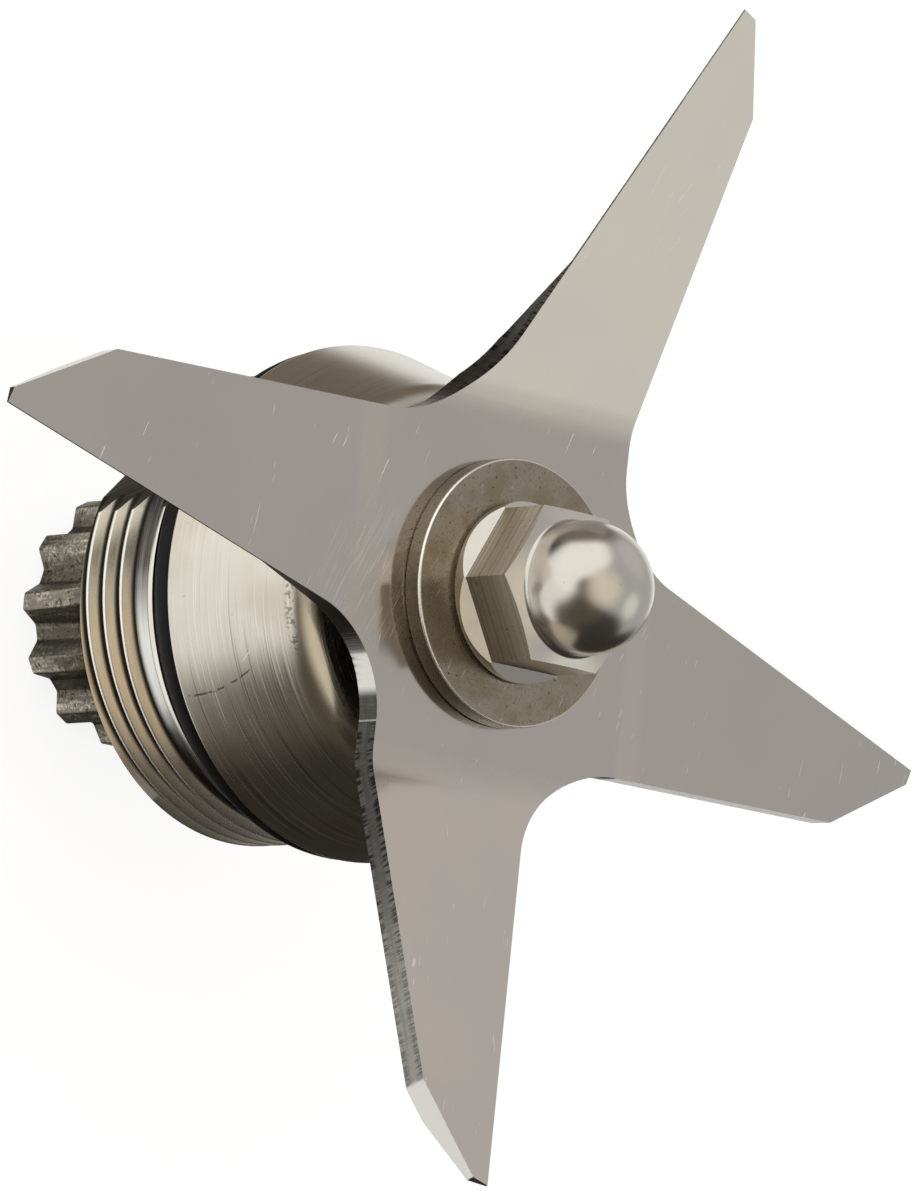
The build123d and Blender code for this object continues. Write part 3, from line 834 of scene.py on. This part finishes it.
def copy_node(node: str) -> bmesh.types.BMesh:
    """Copies a CAD node's mesh in millimetres, welded and with its flat faces joined.

    A level face round the axis stays in four quarters, since one face can't hold a ring.

    Args:
        node: the node's name.

    Returns:
        The new mesh.
    """
    mesh = bmesh.new()
    mesh.from_mesh(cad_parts[node].data)
    bmesh.ops.scale(mesh, vec=(1 / MM, 1 / MM, 1 / MM), verts=mesh.verts)
    bmesh.ops.remove_doubles(mesh, verts=mesh.verts, dist=WELD)
    for across in ((1, 0, 0), (0, 1, 0)):
        cut = bmesh.ops.bisect_plane(
            mesh, geom=everything(mesh), dist=WELD, plane_co=(0, 0, 0), plane_no=across
        )
        mesh.normal_update()
        for edge in cut["geom_cut"]:
            if isinstance(edge, bmesh.types.BMEdge):
                edge.seam = all(abs(face.normal.z) > LEVEL for face in edge.link_faces)
    bmesh.ops.dissolve_limit(
        mesh, angle_limit=radians(ONE_PLANE), verts=mesh.verts, edges=mesh.edges, delimit={"SEAM"}
    )
    return mesh


def break_edges(mesh: bmesh.types.BMesh, width: float, sharp: float, level: bool = True) -> None:
    """Rounds the sharp edges a little, as deburring does.

    Args:
        mesh: the mesh that is changed.
        width: the width of the rounding in millimetres.
        sharp: the least turn of an edge that is rounded, in degrees.
        level: whether the edges of level faces are rounded too.
    """
    mesh.normal_update()
    edges = [edge for edge in mesh.edges if edge.is_manifold and edge.calc_face_angle(0) > radians(sharp)]
    if not level:
        edges = [edge for edge in edges if all(abs(face.normal.z) < LEVEL for face in edge.link_faces)]
    round_off(mesh, edges, width, 2, Rounding.EDGES)


def even_shading(piece: bpy.types.Object) -> None:
    """Lets large faces set the shading of the small ones beside them."""
    modifier = piece.modifiers.new("even_shading", "WEIGHTED_NORMAL")
    modifier.keep_sharp = True
    modifier.weight = 90


def sort_faces(mesh: bmesh.types.BMesh, choose: Callable[[bmesh.types.BMFace], int]) -> None:
    """Gives each face the material number that the chooser names."""
    mesh.normal_update()
    for face in mesh.faces:
        face.material_index = choose(face)


def dress(piece: bpy.types.Object, materials: list[bpy.types.Material]) -> None:
    """Gives a new piece its materials."""
    for material in materials:
        piece.data.materials.append(material)


class Surface(IntEnum):
    """The housing's finishes, by material number."""

    TURNED = 0
    THREAD = 1
    FLAT = 2
    CONE = 3
    RELIEF = 4


@dataclass
class Housing:
    """The turned housing: threaded collar, relief, O-ring groove, flange, cone and bore."""

    collar_bottom: float = 17.72
    collar_radius: float = 19.84
    thread_pitch: float = 2.1167
    thread_depth: float = 1.0
    thread_crest: float = 0.26
    thread_flank: float = 30.0
    thread_sink: float = 0.2
    thread_angle: float = 272.6
    crest_rounding: float = 0.1
    steps: int = 240
    relief_bottom: float = 25.8
    relief_radius: float = 18.5
    land_bottom: float = 27.0
    groove_bottom: float = 27.6
    groove_radius: float = 18.8
    flange_bottom: float = 31.55
    flange_radius: float = 21.6
    cone_bottom: float = 31.7
    cone_angle: float = 21.15
    shoulder_fillet: float = 2.95
    top: float = 43.504
    mouth_chamfer: float = 0.5
    seal_radius: float = 10.2
    seal_bottom: float = 38.184
    web_radius: float = 7.95
    bore_top: float = 36.684
    bore_radius: float = 11.1125
    ring_top: float = 20.5
    ring_bottom: float = 19.4
    ring_radius: float = 11.6625
    flat_distance: float = 17.45
    flat_angle: float = 136.5
    edge_break: float = 0.07
    groove_rounding: float = 0.15
    bare_root: float = 1.2
    shade_angle: float = 28.0

    def outline(self) -> list[Corner]:
        """The turned outline, from the collar up over the cone and down the bore."""
        cone_top = self.flange_radius - (self.top - self.cone_bottom) * tan(radians(self.cone_angle))
        fine, groove = self.edge_break, self.groove_rounding
        return [
            (self.thread_root(), self.collar_bottom, fine),
            (self.thread_root(), self.relief_bottom, fine),
            (self.relief_radius, self.relief_bottom, groove),
            (self.relief_radius, self.land_bottom, groove),
            (self.collar_radius, self.land_bottom, fine),
            (self.collar_radius, self.groove_bottom, fine),
            (self.groove_radius, self.groove_bottom, groove),
            (self.groove_radius, self.flange_bottom, groove),
            (self.flange_radius, self.flange_bottom, fine),
            (self.flange_radius, self.cone_bottom, fine),
            (cone_top, self.top, self.shoulder_fillet),
            (self.seal_radius + self.mouth_chamfer, self.top, fine),
            (self.seal_radius, self.top - self.mouth_chamfer, fine),
            (self.seal_radius, self.seal_bottom, 0),
            (self.web_radius, self.seal_bottom, fine),
            (self.web_radius, self.bore_top, fine),
            (self.bore_radius, self.bore_top, 0),
            (self.bore_radius, self.ring_top, fine),
            (self.ring_radius, self.ring_top, 0),
            (self.ring_radius, self.ring_bottom, 0),
            (self.bore_radius, self.ring_bottom, fine),
            (self.bore_radius, self.collar_bottom + self.mouth_chamfer, fine),
            (self.bore_radius + self.mouth_chamfer, self.collar_bottom, fine),
        ]

    def thread_root(self) -> float:
        """The collar's radius between the thread's turns."""
        return self.collar_radius - self.thread_depth

    def thread_ridge(self) -> bmesh.types.BMesh:
        """The thread's ridge, wound from below the collar up to the relief."""
        ridge = bmesh.new()
        crest = self.thread_crest / 2
        foot = crest + (self.thread_depth + self.thread_sink) * tan(radians(self.thread_flank))
        inside = self.thread_root() - self.thread_sink
        start = self.collar_bottom - self.thread_pitch
        turns = (self.relief_bottom - foot - start) / self.thread_pitch
        section = ((inside, -foot), (self.collar_radius, -crest), (self.collar_radius, crest), (inside, foot))
        corners = [ridge.verts.new((radius, 0, start + height)) for radius, height in section]
        ridge.faces.new(corners)
        round_off(ridge, corners[1:3], self.crest_rounding, 3, Rounding.CORNERS)
        bmesh.ops.rotate(
            ridge, verts=ridge.verts, cent=(0, 0, 0), matrix=Matrix.Rotation(radians(self.thread_angle), 3, "Z")
        )
        bmesh.ops.spin(
            ridge,
            geom=everything(ridge),
            cent=(0, 0, 0),
            axis=(0, 0, 1),
            dvec=(0, 0, self.thread_pitch / self.steps),
            angle=tau * round(turns * self.steps) / self.steps,
            steps=round(turns * self.steps),
        )
        bmesh.ops.recalc_face_normals(ridge, faces=ridge.faces)
        return ridge

    def end_cutter(self) -> bmesh.types.BMesh:
        """The block that trims the thread at the collar's lower end."""
        reach = 2 * self.collar_radius
        return block((2 * reach, 2 * reach, reach), (0, 0, self.collar_bottom - reach / 2))

    def flat_cutter(self) -> bmesh.types.BMesh:
        """The block that the milled flat takes away."""
        reach = 2 * self.collar_radius
        height = self.groove_bottom - self.collar_bottom + 1
        middle = (self.flat_distance + reach / 2, 0, self.groove_bottom - height / 2)
        return block((reach, 2 * reach, height), middle, self.flat_angle)

    def finish_of(self, face: bmesh.types.BMFace) -> Surface:
        """Which finish a face has."""
        middle = face.calc_center_median()
        radius = middle.xy.length
        facing = heading(self.flat_angle)
        if face.normal.dot(facing) > 0.999 and abs(middle.dot(facing) - self.flat_distance) < 0.02:
            return Surface.FLAT
        if radius < self.ring_radius + 0.1:
            return Surface.TURNED
        if middle.z < self.relief_bottom:
            bare = radius < self.thread_root() + 0.03 and middle.z > self.relief_bottom - self.bare_root
            return Surface.RELIEF if bare else Surface.THREAD
        if middle.z < self.land_bottom or self.groove_bottom < middle.z < self.flange_bottom:
            return Surface.RELIEF
        return Surface.CONE if middle.z > self.flange_bottom else Surface.TURNED

    def build(self) -> bpy.types.Object:
        """Makes the housing's mesh and puts it in the place of its CAD node."""
        mesh = Turning(self.outline(), self.steps).spin(closed=True)
        ridge = combine(self.thread_ridge(), [self.end_cutter()])
        mesh = combine(combine(mesh, [ridge], Joining.ADD), [self.flat_cutter()])
        sort_faces(mesh, self.finish_of)
        piece = make_piece("housing_body", mesh, Body.HOUSING, self.shade_angle)
        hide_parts("housing")
        finishes = {
            Surface.TURNED: TurnedSteel(colour=(0.80, 0.78, 0.73), roughness=0.22),
            Surface.THREAD: ThreadSteel(crest_radius=self.collar_radius, root_radius=self.thread_root()),
            Surface.FLAT: MilledSteel(
                colour=(0.40, 0.37, 0.33), dark=(0.06, 0.05, 0.045), across=self.mill_direction(), marks_per_mm=1.6
            ),
            Surface.CONE: ConeSteel(),
            Surface.RELIEF: GroovedSteel(),
        }
        materials = [finish.material(f"housing_{kind.name.lower()}") for kind, finish in finishes.items()]
        dress(piece, materials)
        return piece

    def mill_direction(self) -> Corner:
        """The direction across the cutter's marks on the flat."""
        return tuple(heading(self.flat_angle + 90) * 0.8 + Vector((0, 0, 0.6)))


class BladeFace(IntEnum):
    """The blade's finishes, by material number."""

    SHEET = 0
    EDGE = 1
    BEVEL = 2


@dataclass(frozen=True)
class Arm:
    """One arm of the blade along its own length: its outline, its bend and its ground edge."""

    direction: float
    long_offset: float
    long_slope: float
    short_offset: float
    short_slope: float
    corner: float
    tip_cut: float
    shoulder: float
    reach: float
    bend: float
    bend_radius: float
    tilt: float
    bevel_end: float

    def place(self, along: float, across: float) -> Vector:
        """A point of the flat arm, turned to the arm's direction."""
        return Matrix.Rotation(radians(self.direction), 3, "Z") @ Vector((along, across, 0))

    def long_side(self, along: float) -> Vector:
        """A point on the long edge."""
        return self.place(along, self.long_offset - tan(radians(self.long_slope)) * along)

    def short_side(self, along: float) -> Vector:
        """A point on the short edge."""
        return self.place(along, -self.short_offset - tan(radians(self.short_slope)) * along)

    def tip(self) -> list[Vector]:
        """The three corners of the arm's end."""
        corner_across = -self.short_offset - tan(radians(self.short_slope)) * self.corner
        shoulder_across = corner_across + tan(radians(self.tip_cut)) * (self.shoulder - self.corner)
        shoulder = self.place(self.shoulder, shoulder_across)
        return [self.long_side(self.reach), shoulder, self.short_side(self.corner)]

    def setback(self) -> float:
        """Half the flat length that the bend takes up."""
        return self.bend_radius * tan(radians(abs(self.tilt)) / 2)

    def bent(self, along: float, height: float) -> tuple[float, float]:
        """Where the bend takes a point.

        Args:
            along: the flat distance from the axis.
            height: the height over the sheet's upper face.

        Returns:
            The new distance from the axis and the new height.
        """
        start = self.bend - self.setback()
        share = min(1.0, max(0.0, (along - start) / (2 * self.setback())))
        turn = radians(self.tilt) * share
        if share < 1:
            out = start + self.bend_radius * sin(abs(turn)) + min(0.0, along - start)
            rise = copysign(self.bend_radius * (1 - cos(turn)), self.tilt)
        else:
            out = self.bend + (along - self.bend) * cos(turn)
            rise = (along - self.bend) * sin(turn)
        return out - height * sin(turn), rise + height * cos(turn)


@dataclass
class Blade:
    """The blade: a sheet cut to four arms, ground along its long edges and bent."""

    top: float = 48.604
    thickness: float = 2.1
    raised_fillet: float = 12.7
    level_fillet: float = 9.0
    edge_land: float = 0.2
    bevel_width: float = 5.5
    bevel_runout: float = 8.5
    hole_radius: float = 4.7925
    hole_flat: float = 4.13
    hole_steps: int = 96
    notch_steps: int = 20
    bend_strips: int = 8
    edge_break: float = 0.09
    sharp: float = 12.0
    shade_angle: float = 50.0
    edge_normal: float = 0.5
    bevel_normal: float = 0.15
    raised: Arm = Arm(
        direction=90,
        long_offset=10.18,
        long_slope=19.97,
        short_offset=12.31,
        short_slope=1.81,
        corner=43.7,
        tip_cut=23.9,
        shoulder=51.57,
        reach=52.13,
        bend=15.6,
        bend_radius=6.0,
        tilt=21.85,
        bevel_end=20.3,
    )
    level: Arm = Arm(
        direction=0,
        long_offset=9.57,
        long_slope=17.45,
        short_offset=13.28,
        short_slope=-0.71,
        corner=41.84,
        tip_cut=26.4,
        shoulder=51.36,
        reach=51.87,
        bend=13.7,
        bend_radius=20.0,
        tilt=-3.73,
        bevel_end=17.5,
    )

    def arms(self) -> list[Arm]:
        """The four arms, clockwise from +X."""
        return [self.level, replace(self.raised, direction=270), replace(self.level, direction=180), self.raised]

    def blank(self) -> bmesh.types.BMesh:
        """The flat sheet with rounded notches between its arms."""
        mesh = bmesh.new()
        arms = self.arms()
        outline = []
        notches = []
        for before, arm in zip(arms[-1:] + arms[:-1], arms):
            short = before.short_side(0), before.short_side(before.corner)
            long = arm.long_side(0), arm.long_side(arm.reach)
            meeting = intersect_line_line_2d(*(point.xy for point in short + long))
            notches.append(mesh.verts.new((*meeting, self.top)))
            outline.append(notches[-1])
            outline += [mesh.verts.new((*point.xy, self.top)) for point in arm.tip()]
        mesh.faces.new(outline)
        for notch in notches:
            first, second = (edge.other_vert(notch).co - notch.co for edge in notch.link_edges)
            fillet = self.raised_fillet if notch.co.x * notch.co.y < 0 else self.level_fillet
            width = fillet / tan(first.angle(second) / 2)
            round_off(mesh, [notch], width, self.notch_steps, Rounding.CORNERS)
        lower = bmesh.ops.extrude_face_region(mesh, geom=mesh.faces[:])["geom"]
        bmesh.ops.translate(mesh, verts=points_of(lower), vec=(0, 0, -self.thickness))
        bmesh.ops.recalc_face_normals(mesh, faces=mesh.faces)
        return mesh

    def bevel_cutter(self, arm: Arm) -> bmesh.types.BMesh:
        """The wedge that grinding takes away under one long edge, running out towards the hub."""
        cutter = bmesh.new()
        spare = self.thickness
        depth = self.thickness - self.edge_land
        rise = depth / self.bevel_width
        inward = (arm.long_side(0) - arm.long_side(arm.reach)).normalized()
        into = Vector((-inward.y, inward.x, 0))
        start = arm.long_side(arm.reach) - inward * spare
        section = ((-spare, rise * spare - self.edge_land), (self.bevel_width + spare, None), (-spare, None))
        lowest = -self.thickness - rise * spare
        corners = []
        for width, height in section:
            level = Vector((0, 0, self.top + (lowest if height is None else height)))
            corners.append(cutter.verts.new(start + into * width + level))
        face = cutter.faces.new(corners)
        far = bmesh.ops.extrude_face_region(cutter, geom=[face])["geom"]
        length = spare + (arm.reach - arm.bevel_end) / cos(radians(arm.long_slope))
        for vert in points_of(far):
            over = vert.co.z - self.top + self.thickness
            vert.co += inward * (length - self.bevel_runout * over / depth)
        bmesh.ops.recalc_face_normals(cutter, faces=cutter.faces)
        return cutter

    def hole_cutter(self) -> bmesh.types.BMesh:
        """The plug that the shaft's hole takes away, with two flats."""
        cutter = bmesh.new()
        bmesh.ops.create_cone(
            cutter,
            cap_ends=True,
            segments=self.hole_steps,
            radius1=self.hole_radius,
            radius2=self.hole_radius,
            depth=2 * self.thickness,
            matrix=Matrix.Translation((0, 0, self.top - self.thickness / 2)),
        )
        for vert in cutter.verts:
            vert.co.x = max(-self.hole_flat, min(self.hole_flat, vert.co.x))
        return cutter

    def bend(self, mesh: bmesh.types.BMesh) -> None:
        """Divides the sheet across its bend lines, notes each point's flat place and bends the arms."""
        arms = self.arms()
        for arm in arms:
            for strip in range(self.bend_strips + 1):
                along = arm.bend + arm.setback() * (2 * strip / self.bend_strips - 1)
                bmesh.ops.bisect_plane(
                    mesh,
                    geom=everything(mesh),
                    dist=ON_PLANE,
                    plane_co=arm.place(along, 0),
                    plane_no=arm.place(1, 0),
                )
        flat = mesh.verts.layers.float_vector.new(FLAT_PLACE)
        for vert in mesh.verts:
            vert[flat] = vert.co
            arm = max(arms, key=lambda choice: vert.co.dot(choice.place(1, 0)))
            along, across = vert.co.dot(arm.place(1, 0)), vert.co.dot(arm.place(0, 1))
            out, height = arm.bent(along, vert.co.z - self.top)
            vert.co = arm.place(out, across) + Vector((0, 0, self.top + height))

    def finish_of(self, face: bmesh.types.BMFace) -> BladeFace:
        """Which finish a face has; the ground bevels are underneath and slope across their arm."""
        middle = face.calc_center_median()
        across = face.normal.x if abs(middle.y) > abs(middle.x) else face.normal.y
        if abs(face.normal.z) < self.edge_normal:
            return BladeFace.EDGE
        ground = face.normal.z < 0 and abs(across) > self.bevel_normal
        return BladeFace.BEVEL if ground else BladeFace.SHEET

    def build(self) -> bpy.types.Object:
        """Makes the blade's mesh and puts it in the place of its CAD node."""
        cutters = [self.bevel_cutter(arm) for arm in self.arms()]
        mesh = combine(self.blank(), [*cutters, self.hole_cutter()])
        self.bend(mesh)
        sort_faces(mesh, self.finish_of)
        break_edges(mesh, self.edge_break, self.sharp)
        piece = make_piece("blade_sheet", mesh, Body.ROTOR, self.shade_angle)
        even_shading(piece)
        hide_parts("blade")
        finishes = [
            SmoothSheet().material("blade_sheet"),
            CutEdge().material("blade_edge"),
            GroundBevel().material("blade_bevel"),
        ]
        dress(piece, finishes)
        return piece


@dataclass
class Washer:
    """The flat washer under the nut."""

    bottom: float = 48.604
    top: float = 50.404
    inner_radius: float = 4.7925
    outer_radius: float = 11.05
    edge: float = 0.25
    hole_edge: float = 0.1
    steps: int = 180
    shade_angle: float = 40.0

    def build(self) -> bpy.types.Object:
        """Makes the washer's mesh and puts it in the place of its CAD node."""
        outline = [
            (self.inner_radius, self.bottom, self.hole_edge),
            (self.outer_radius, self.bottom, self.edge),
            (self.outer_radius, self.top, self.edge),
            (self.inner_radius, self.top, self.hole_edge),
        ]
        mesh = Turning(outline, self.steps).spin(closed=True)
        piece = make_piece("flat_washer", mesh, Body.ROTOR, self.shade_angle)
        even_shading(piece)
        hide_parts("blade_washer")
        dress(piece, [TumbledSteel().material("washer_tumbled")])
        return piece


class NutFace(IntEnum):
    """The nut's finishes, by material number."""

    POLISHED = 0
    FLAT = 1


@dataclass
class CapNut:
    """The domed nut: a turned bar with six milled flats and a polished dome."""

    bottom: float = 50.404
    bar_radius: float = 7.45
    base_chamfer: float = 0.35
    flat_distance: float = 6.35
    flat_count: int = 6
    hex_bottom: float = 51.854
    hex_top: float = 57.054
    runout_angle: float = 35.0
    cone_angle: float = 18.0
    neck_fillet: float = 0.4
    dome_radius: float = 5.5
    dome_top: float = 63.904
    hole_radius: float = 3.99
    hole_top: float = 60.9
    hole_edge: float = 0.1
    edge_break: float = 0.05
    dome_land: float = 0.002
    steps: int = 192
    shade_angle: float = 14.0

    def outline(self) -> list[Corner]:
        """The turned outline before the flats are cut."""
        cone_bottom = self.hex_top - (self.bar_radius - self.dome_radius) * tan(radians(self.cone_angle))
        return [
            (0, self.hole_top, 0),
            (self.hole_radius, self.hole_top, 0),
            (self.hole_radius, self.bottom, self.hole_edge),
            (self.bar_radius - self.base_chamfer, self.bottom, self.edge_break),
            (self.bar_radius, self.bottom + self.base_chamfer, self.edge_break),
            (self.bar_radius, cone_bottom, self.edge_break),
            (self.dome_radius, self.hex_top, self.neck_fillet),
            (self.dome_radius, self.dome_top, self.dome_radius - self.dome_land),
            (0, self.dome_top, 0),
        ]

    def flat_direction(self, number: int) -> float:
        """The angle that one flat faces, in degrees from +X."""
        return (number + 0.5) * 360 / self.flat_count

    def flat_cutter(self, number: int) -> bmesh.types.BMesh:
        """The block that one flat takes away, with a sloping run-out below."""
        reach = self.bar_radius
        height = self.hex_top - self.hex_bottom
        middle = (self.flat_distance + reach / 2, 0, self.hex_bottom + height / 2)
        cutter = block((reach, 2 * reach, height), middle)
        outside = [vert for vert in cutter.verts if vert.co.x > middle[0] and vert.co.z < middle[2]]
        fall = reach * tan(radians(self.runout_angle))
        bmesh.ops.translate(cutter, verts=outside, vec=(0, 0, -fall))
        turn = Matrix.Rotation(radians(self.flat_direction(number)), 3, "Z")
        bmesh.ops.rotate(cutter, verts=cutter.verts, cent=(0, 0, 0), matrix=turn)
        return cutter

    def finish_of(self, face: bmesh.types.BMFace) -> NutFace:
        """Which finish a face has."""
        middle = face.calc_center_median()
        for number in range(self.flat_count):
            facing = heading(self.flat_direction(number))
            if face.normal.dot(facing) > 0.9995 and abs(middle.dot(facing) - self.flat_distance) < 0.01:
                return NutFace.FLAT
        return NutFace.POLISHED

    def build(self) -> bpy.types.Object:
        """Makes the nut's mesh and puts it in the place of its CAD node."""
        mesh = Turning(self.outline(), self.steps).spin(closed=False)
        mesh = combine(mesh, [self.flat_cutter(number) for number in range(self.flat_count)])
        sort_faces(mesh, self.finish_of)
        piece = make_piece("domed_nut", mesh, Body.ROTOR, self.shade_angle)
        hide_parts("cap_nut")
        milled = MilledSteel(colour=(0.57, 0.52, 0.45), dark=(0.25, 0.215, 0.17), marks_per_mm=3.4)
        dress(piece, [PolishedSteel().material("nut_polished"), milled.material("nut_flats")])
        return piece


@dataclass
class Coupling:
    """The toothed drive coupling, pressed and sintered, with softened edges."""

    edge_break: float = 0.1
    sharp: float = 30.0
    shade_angle: float = 50.0

    def build(self) -> bpy.types.Object:
        """Makes the coupling's mesh and puts it in the place of its CAD node."""
        mesh = copy_node("drive_coupling")
        break_edges(mesh, self.edge_break, self.sharp, level=False)
        piece = make_piece("toothed_coupling", mesh, Body.ROTOR, self.shade_angle)
        even_shading(piece)
        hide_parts("drive_coupling")
        dress(piece, [SinteredIron().material("coupling_sintered")])
        return piece


@dataclass
class InnerParts:
    """The pieces that keep their CAD shape: shaft, seals, bearings, spacers and retaining ring."""

    sides: tuple[str, str] = ("upper", "lower")
    finishes: dict[str, tuple[Finish, tuple[str, ...]]] = field(init=False)

    def __post_init__(self) -> None:
        """Lists the finish of each kind of piece."""
        race = TurnedSteel(colour=(0.70, 0.70, 0.70), stain=(0.6, 0.6, 0.59), roughness=0.16, nick_share=0.3)
        shield = TurnedSteel(colour=(0.58, 0.57, 0.55), stain=(0.5, 0.47, 0.42), roughness=0.32)
        black = TurnedSteel(colour=(0.07, 0.07, 0.075), stain=(0.12, 0.11, 0.1), roughness=0.38)
        self.finishes = {
            "shaft_ground": (TurnedSteel(roughness=0.22), ("shaft",)),
            "spacer_turned": (TurnedSteel(roughness=0.3), ("inner_spacer", "outer_spacer", "coupling_spacer")),
            "o_ring_black": (Rubber(), ("o_ring",)),
            "seal_black": (Rubber(colour=(0.02, 0.02, 0.021), roughness=0.5), ("shaft_seal",)),
            "spring_bright": (PolishedSteel(), ("seal_spring",)),
            "ring_blackened": (black, ("retaining_ring",)),
            "race_ground": (race, self.both("outer_race", "inner_race")),
            "ball_polished": (PolishedSteel(roughness=0.08), self.both("balls")),
            "shield_pressed": (shield, self.both("top_shield", "bottom_shield")),
            "cage_nylon": (Nylon(), self.both("cage")),
        }

    def both(self, *kinds: str) -> tuple[str, ...]:
        """The names of these pieces in both bearings."""
        return tuple(f"{side}_bearing_{kind}" for side in self.sides for kind in kinds)

    def build(self) -> list[bpy.types.Object]:
        """Gives each CAD node its finish."""
        dressed = []
        for name, (finish, nodes) in self.finishes.items():
            material = finish.material(name)
            for node in nodes:
                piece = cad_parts[node]
                for slot in piece.material_slots:
                    slot.material = material
                dressed.append(piece)
        return dressed


@dataclass(frozen=True)
class Panel:
    """A soft-edged panel in the surroundings: a light, or a dark flag.

    Attributes:
        direction: where it lies, seen from the object.
        inner: the angle within which it is full, in degrees.
        outer: the angle at which it ends, in degrees.
        colour: its own light.
    """

    direction: Corner
    inner: float
    outer: float
    colour: Colour


@dataclass
class Studio:
    """A pale floor, soft light from all round and the camera; later panels lie over earlier ones."""

    floor_size: float = 8.0
    floor_drop: float = 0.0001
    floor_glow: float = 0.86
    floor_tone: Colour = (0.3, 0.3, 0.3)
    pale: Colour = (1.0, 1.0, 1.0)
    room: Colour = (0.515, 0.508, 0.503)
    lens: float = 240.29
    sensor: float = 36.0
    eye: Corner = (-0.44006, -0.09646, 0.52441)
    right: Corner = (0.7263, 0.0867, 0.6819)
    up: Corner = (-0.1628, 0.9855, 0.0482)
    panels: tuple[Panel, ...] = (
        Panel((0.05, -0.98, 0.10), 36, 52, (0.05, 0.045, 0.04)),
        Panel((-0.85, 0.45, 0.0), 30, 75, (1.2, 1.18, 1.12)),
        Panel((-0.45, 0.785, 0.42), 24, 42, (1.2, 1.18, 1.12)),
        Panel((-0.75, -0.25, -0.62), 26, 46, (1.05, 1.04, 1.0)),
        Panel((-0.60, -0.80, 0.0), 6, 30, (0.12, 0.105, 0.085)),
        Panel((-0.15, 0.68, -0.72), 24, 40, (0.05, 0.047, 0.044)),
        Panel((0.72, 0.25, -0.62), 20, 36, (1.0, 0.99, 0.97)),
        Panel((0.62, -0.66, -0.42), 24, 36, (0.04, 0.035, 0.03)),
        Panel((0.35, -0.75, -0.55), 30, 44, (0.04, 0.035, 0.03)),
        Panel((0.12, 0.95, -0.28), 22, 36, (0.20, 0.17, 0.14)),
        Panel((0.72, -0.30, 0.62), 10, 20, (0.87, 0.87, 0.81)),
        Panel((0.67, 0.63, 0.40), 14, 27, (0.64, 0.62, 0.60)),
        Panel((-0.49, -0.69, 0.53), 20, 38, (0.10, 0.085, 0.065)),
        Panel((-0.67, -0.15, 0.73), 10, 24, (0.17, 0.145, 0.12)),
        Panel((-0.20, -0.10, 0.97), 6, 40, (0.90, 0.82, 0.67)),
    )

    def build(self) -> None:
        """Sets up the floor, the light and the camera."""
        self.lay_floor()
        self.light()
        self.aim()
        bpy.context.scene.view_settings.view_transform = "Standard"

    def lay_floor(self) -> None:
        """Makes the pale floor under the coupling."""
        mesh = bmesh.new()
        half = self.floor_size / 2
        bmesh.ops.create_grid(mesh, size=half, matrix=Matrix.Translation((0, 0, -self.floor_drop)))
        data = bpy.data.meshes.new("floor")
        mesh.to_mesh(data)
        mesh.free()
        floor = bpy.data.objects.new("floor", data)
        bpy.context.scene.collection.objects.link(floor)
        floor.visible_glossy = False
        paint = Paint("floor_pale")
        glow = paint.add("ShaderNodeEmission", inputs={"Color": (*self.pale, 1.0), "Strength": self.floor_glow})
        matt = paint.add("ShaderNodeBsdfDiffuse", inputs={"Color": (*self.floor_tone, 1.0)})
        surface = paint.add("ShaderNodeAddShader", inputs={0: glow, 1: matt})
        paint.add("ShaderNodeOutputMaterial", inputs={"Surface": surface})
        data.materials.append(paint.material)

    def light(self) -> None:
        """Builds the surroundings: an even room with the panels in it."""
        world = bpy.data.worlds.new("studio")
        world.use_nodes = True
        bpy.context.scene.world = world
        canvas = Canvas(world.node_tree)
        way = canvas.add("ShaderNodeTexCoord", output="Generated")
        tone = self.room
        for panel in self.panels:
            facing = canvas.vector("DOT_PRODUCT", way, tuple(Vector(panel.direction).normalized()), 1)
            share = canvas.band(facing, cos(radians(panel.outer)), cos(radians(panel.inner)))
            tone = canvas.mix(share, tone, panel.colour)
        seen = canvas.add("ShaderNodeLightPath", output="Is Camera Ray")
        glow = canvas.add("ShaderNodeBackground", inputs={"Color": canvas.mix(seen, tone, self.pale)})
        canvas.add("ShaderNodeOutputWorld", inputs={"Surface": glow})

    def aim(self) -> None:
        """Places the camera where the picture was taken from."""
        camera = bpy.data.cameras.new("camera")
        camera.lens = self.lens
        camera.sensor_width = self.sensor
        camera.clip_start = 0.01
        camera.clip_end = 100.0
        right, up = Vector(self.right).normalized(), Vector(self.up).normalized()
        back = right.cross(up).normalized()
        up = back.cross(right)
        holder = bpy.data.objects.new("camera", camera)
        bpy.context.scene.collection.objects.link(holder)
        axes = Matrix((right, up, back)).transposed().to_4x4()
        holder.matrix_world = Matrix.Translation(self.eye) @ axes
        bpy.context.scene.camera = holder


def report(piece: bpy.types.Object) -> None:
    """Logs a piece's name and the number of its faces."""
    LOG.info("%s: %d faces", piece.name, len(piece.data.polygons))


def main() -> None:
    """Builds the sub-assemblies, dresses the CAD nodes and sets up the studio."""
    logging.basicConfig(level=logging.INFO, format="%(name)s %(message)s")
    Studio().build()
    for group in (Housing(), Blade(), Washer(), CapNut(), Coupling()):
        report(group.build())
    for piece in InnerParts().build():
        report(piece)


if __name__ == "__main__":
    main()
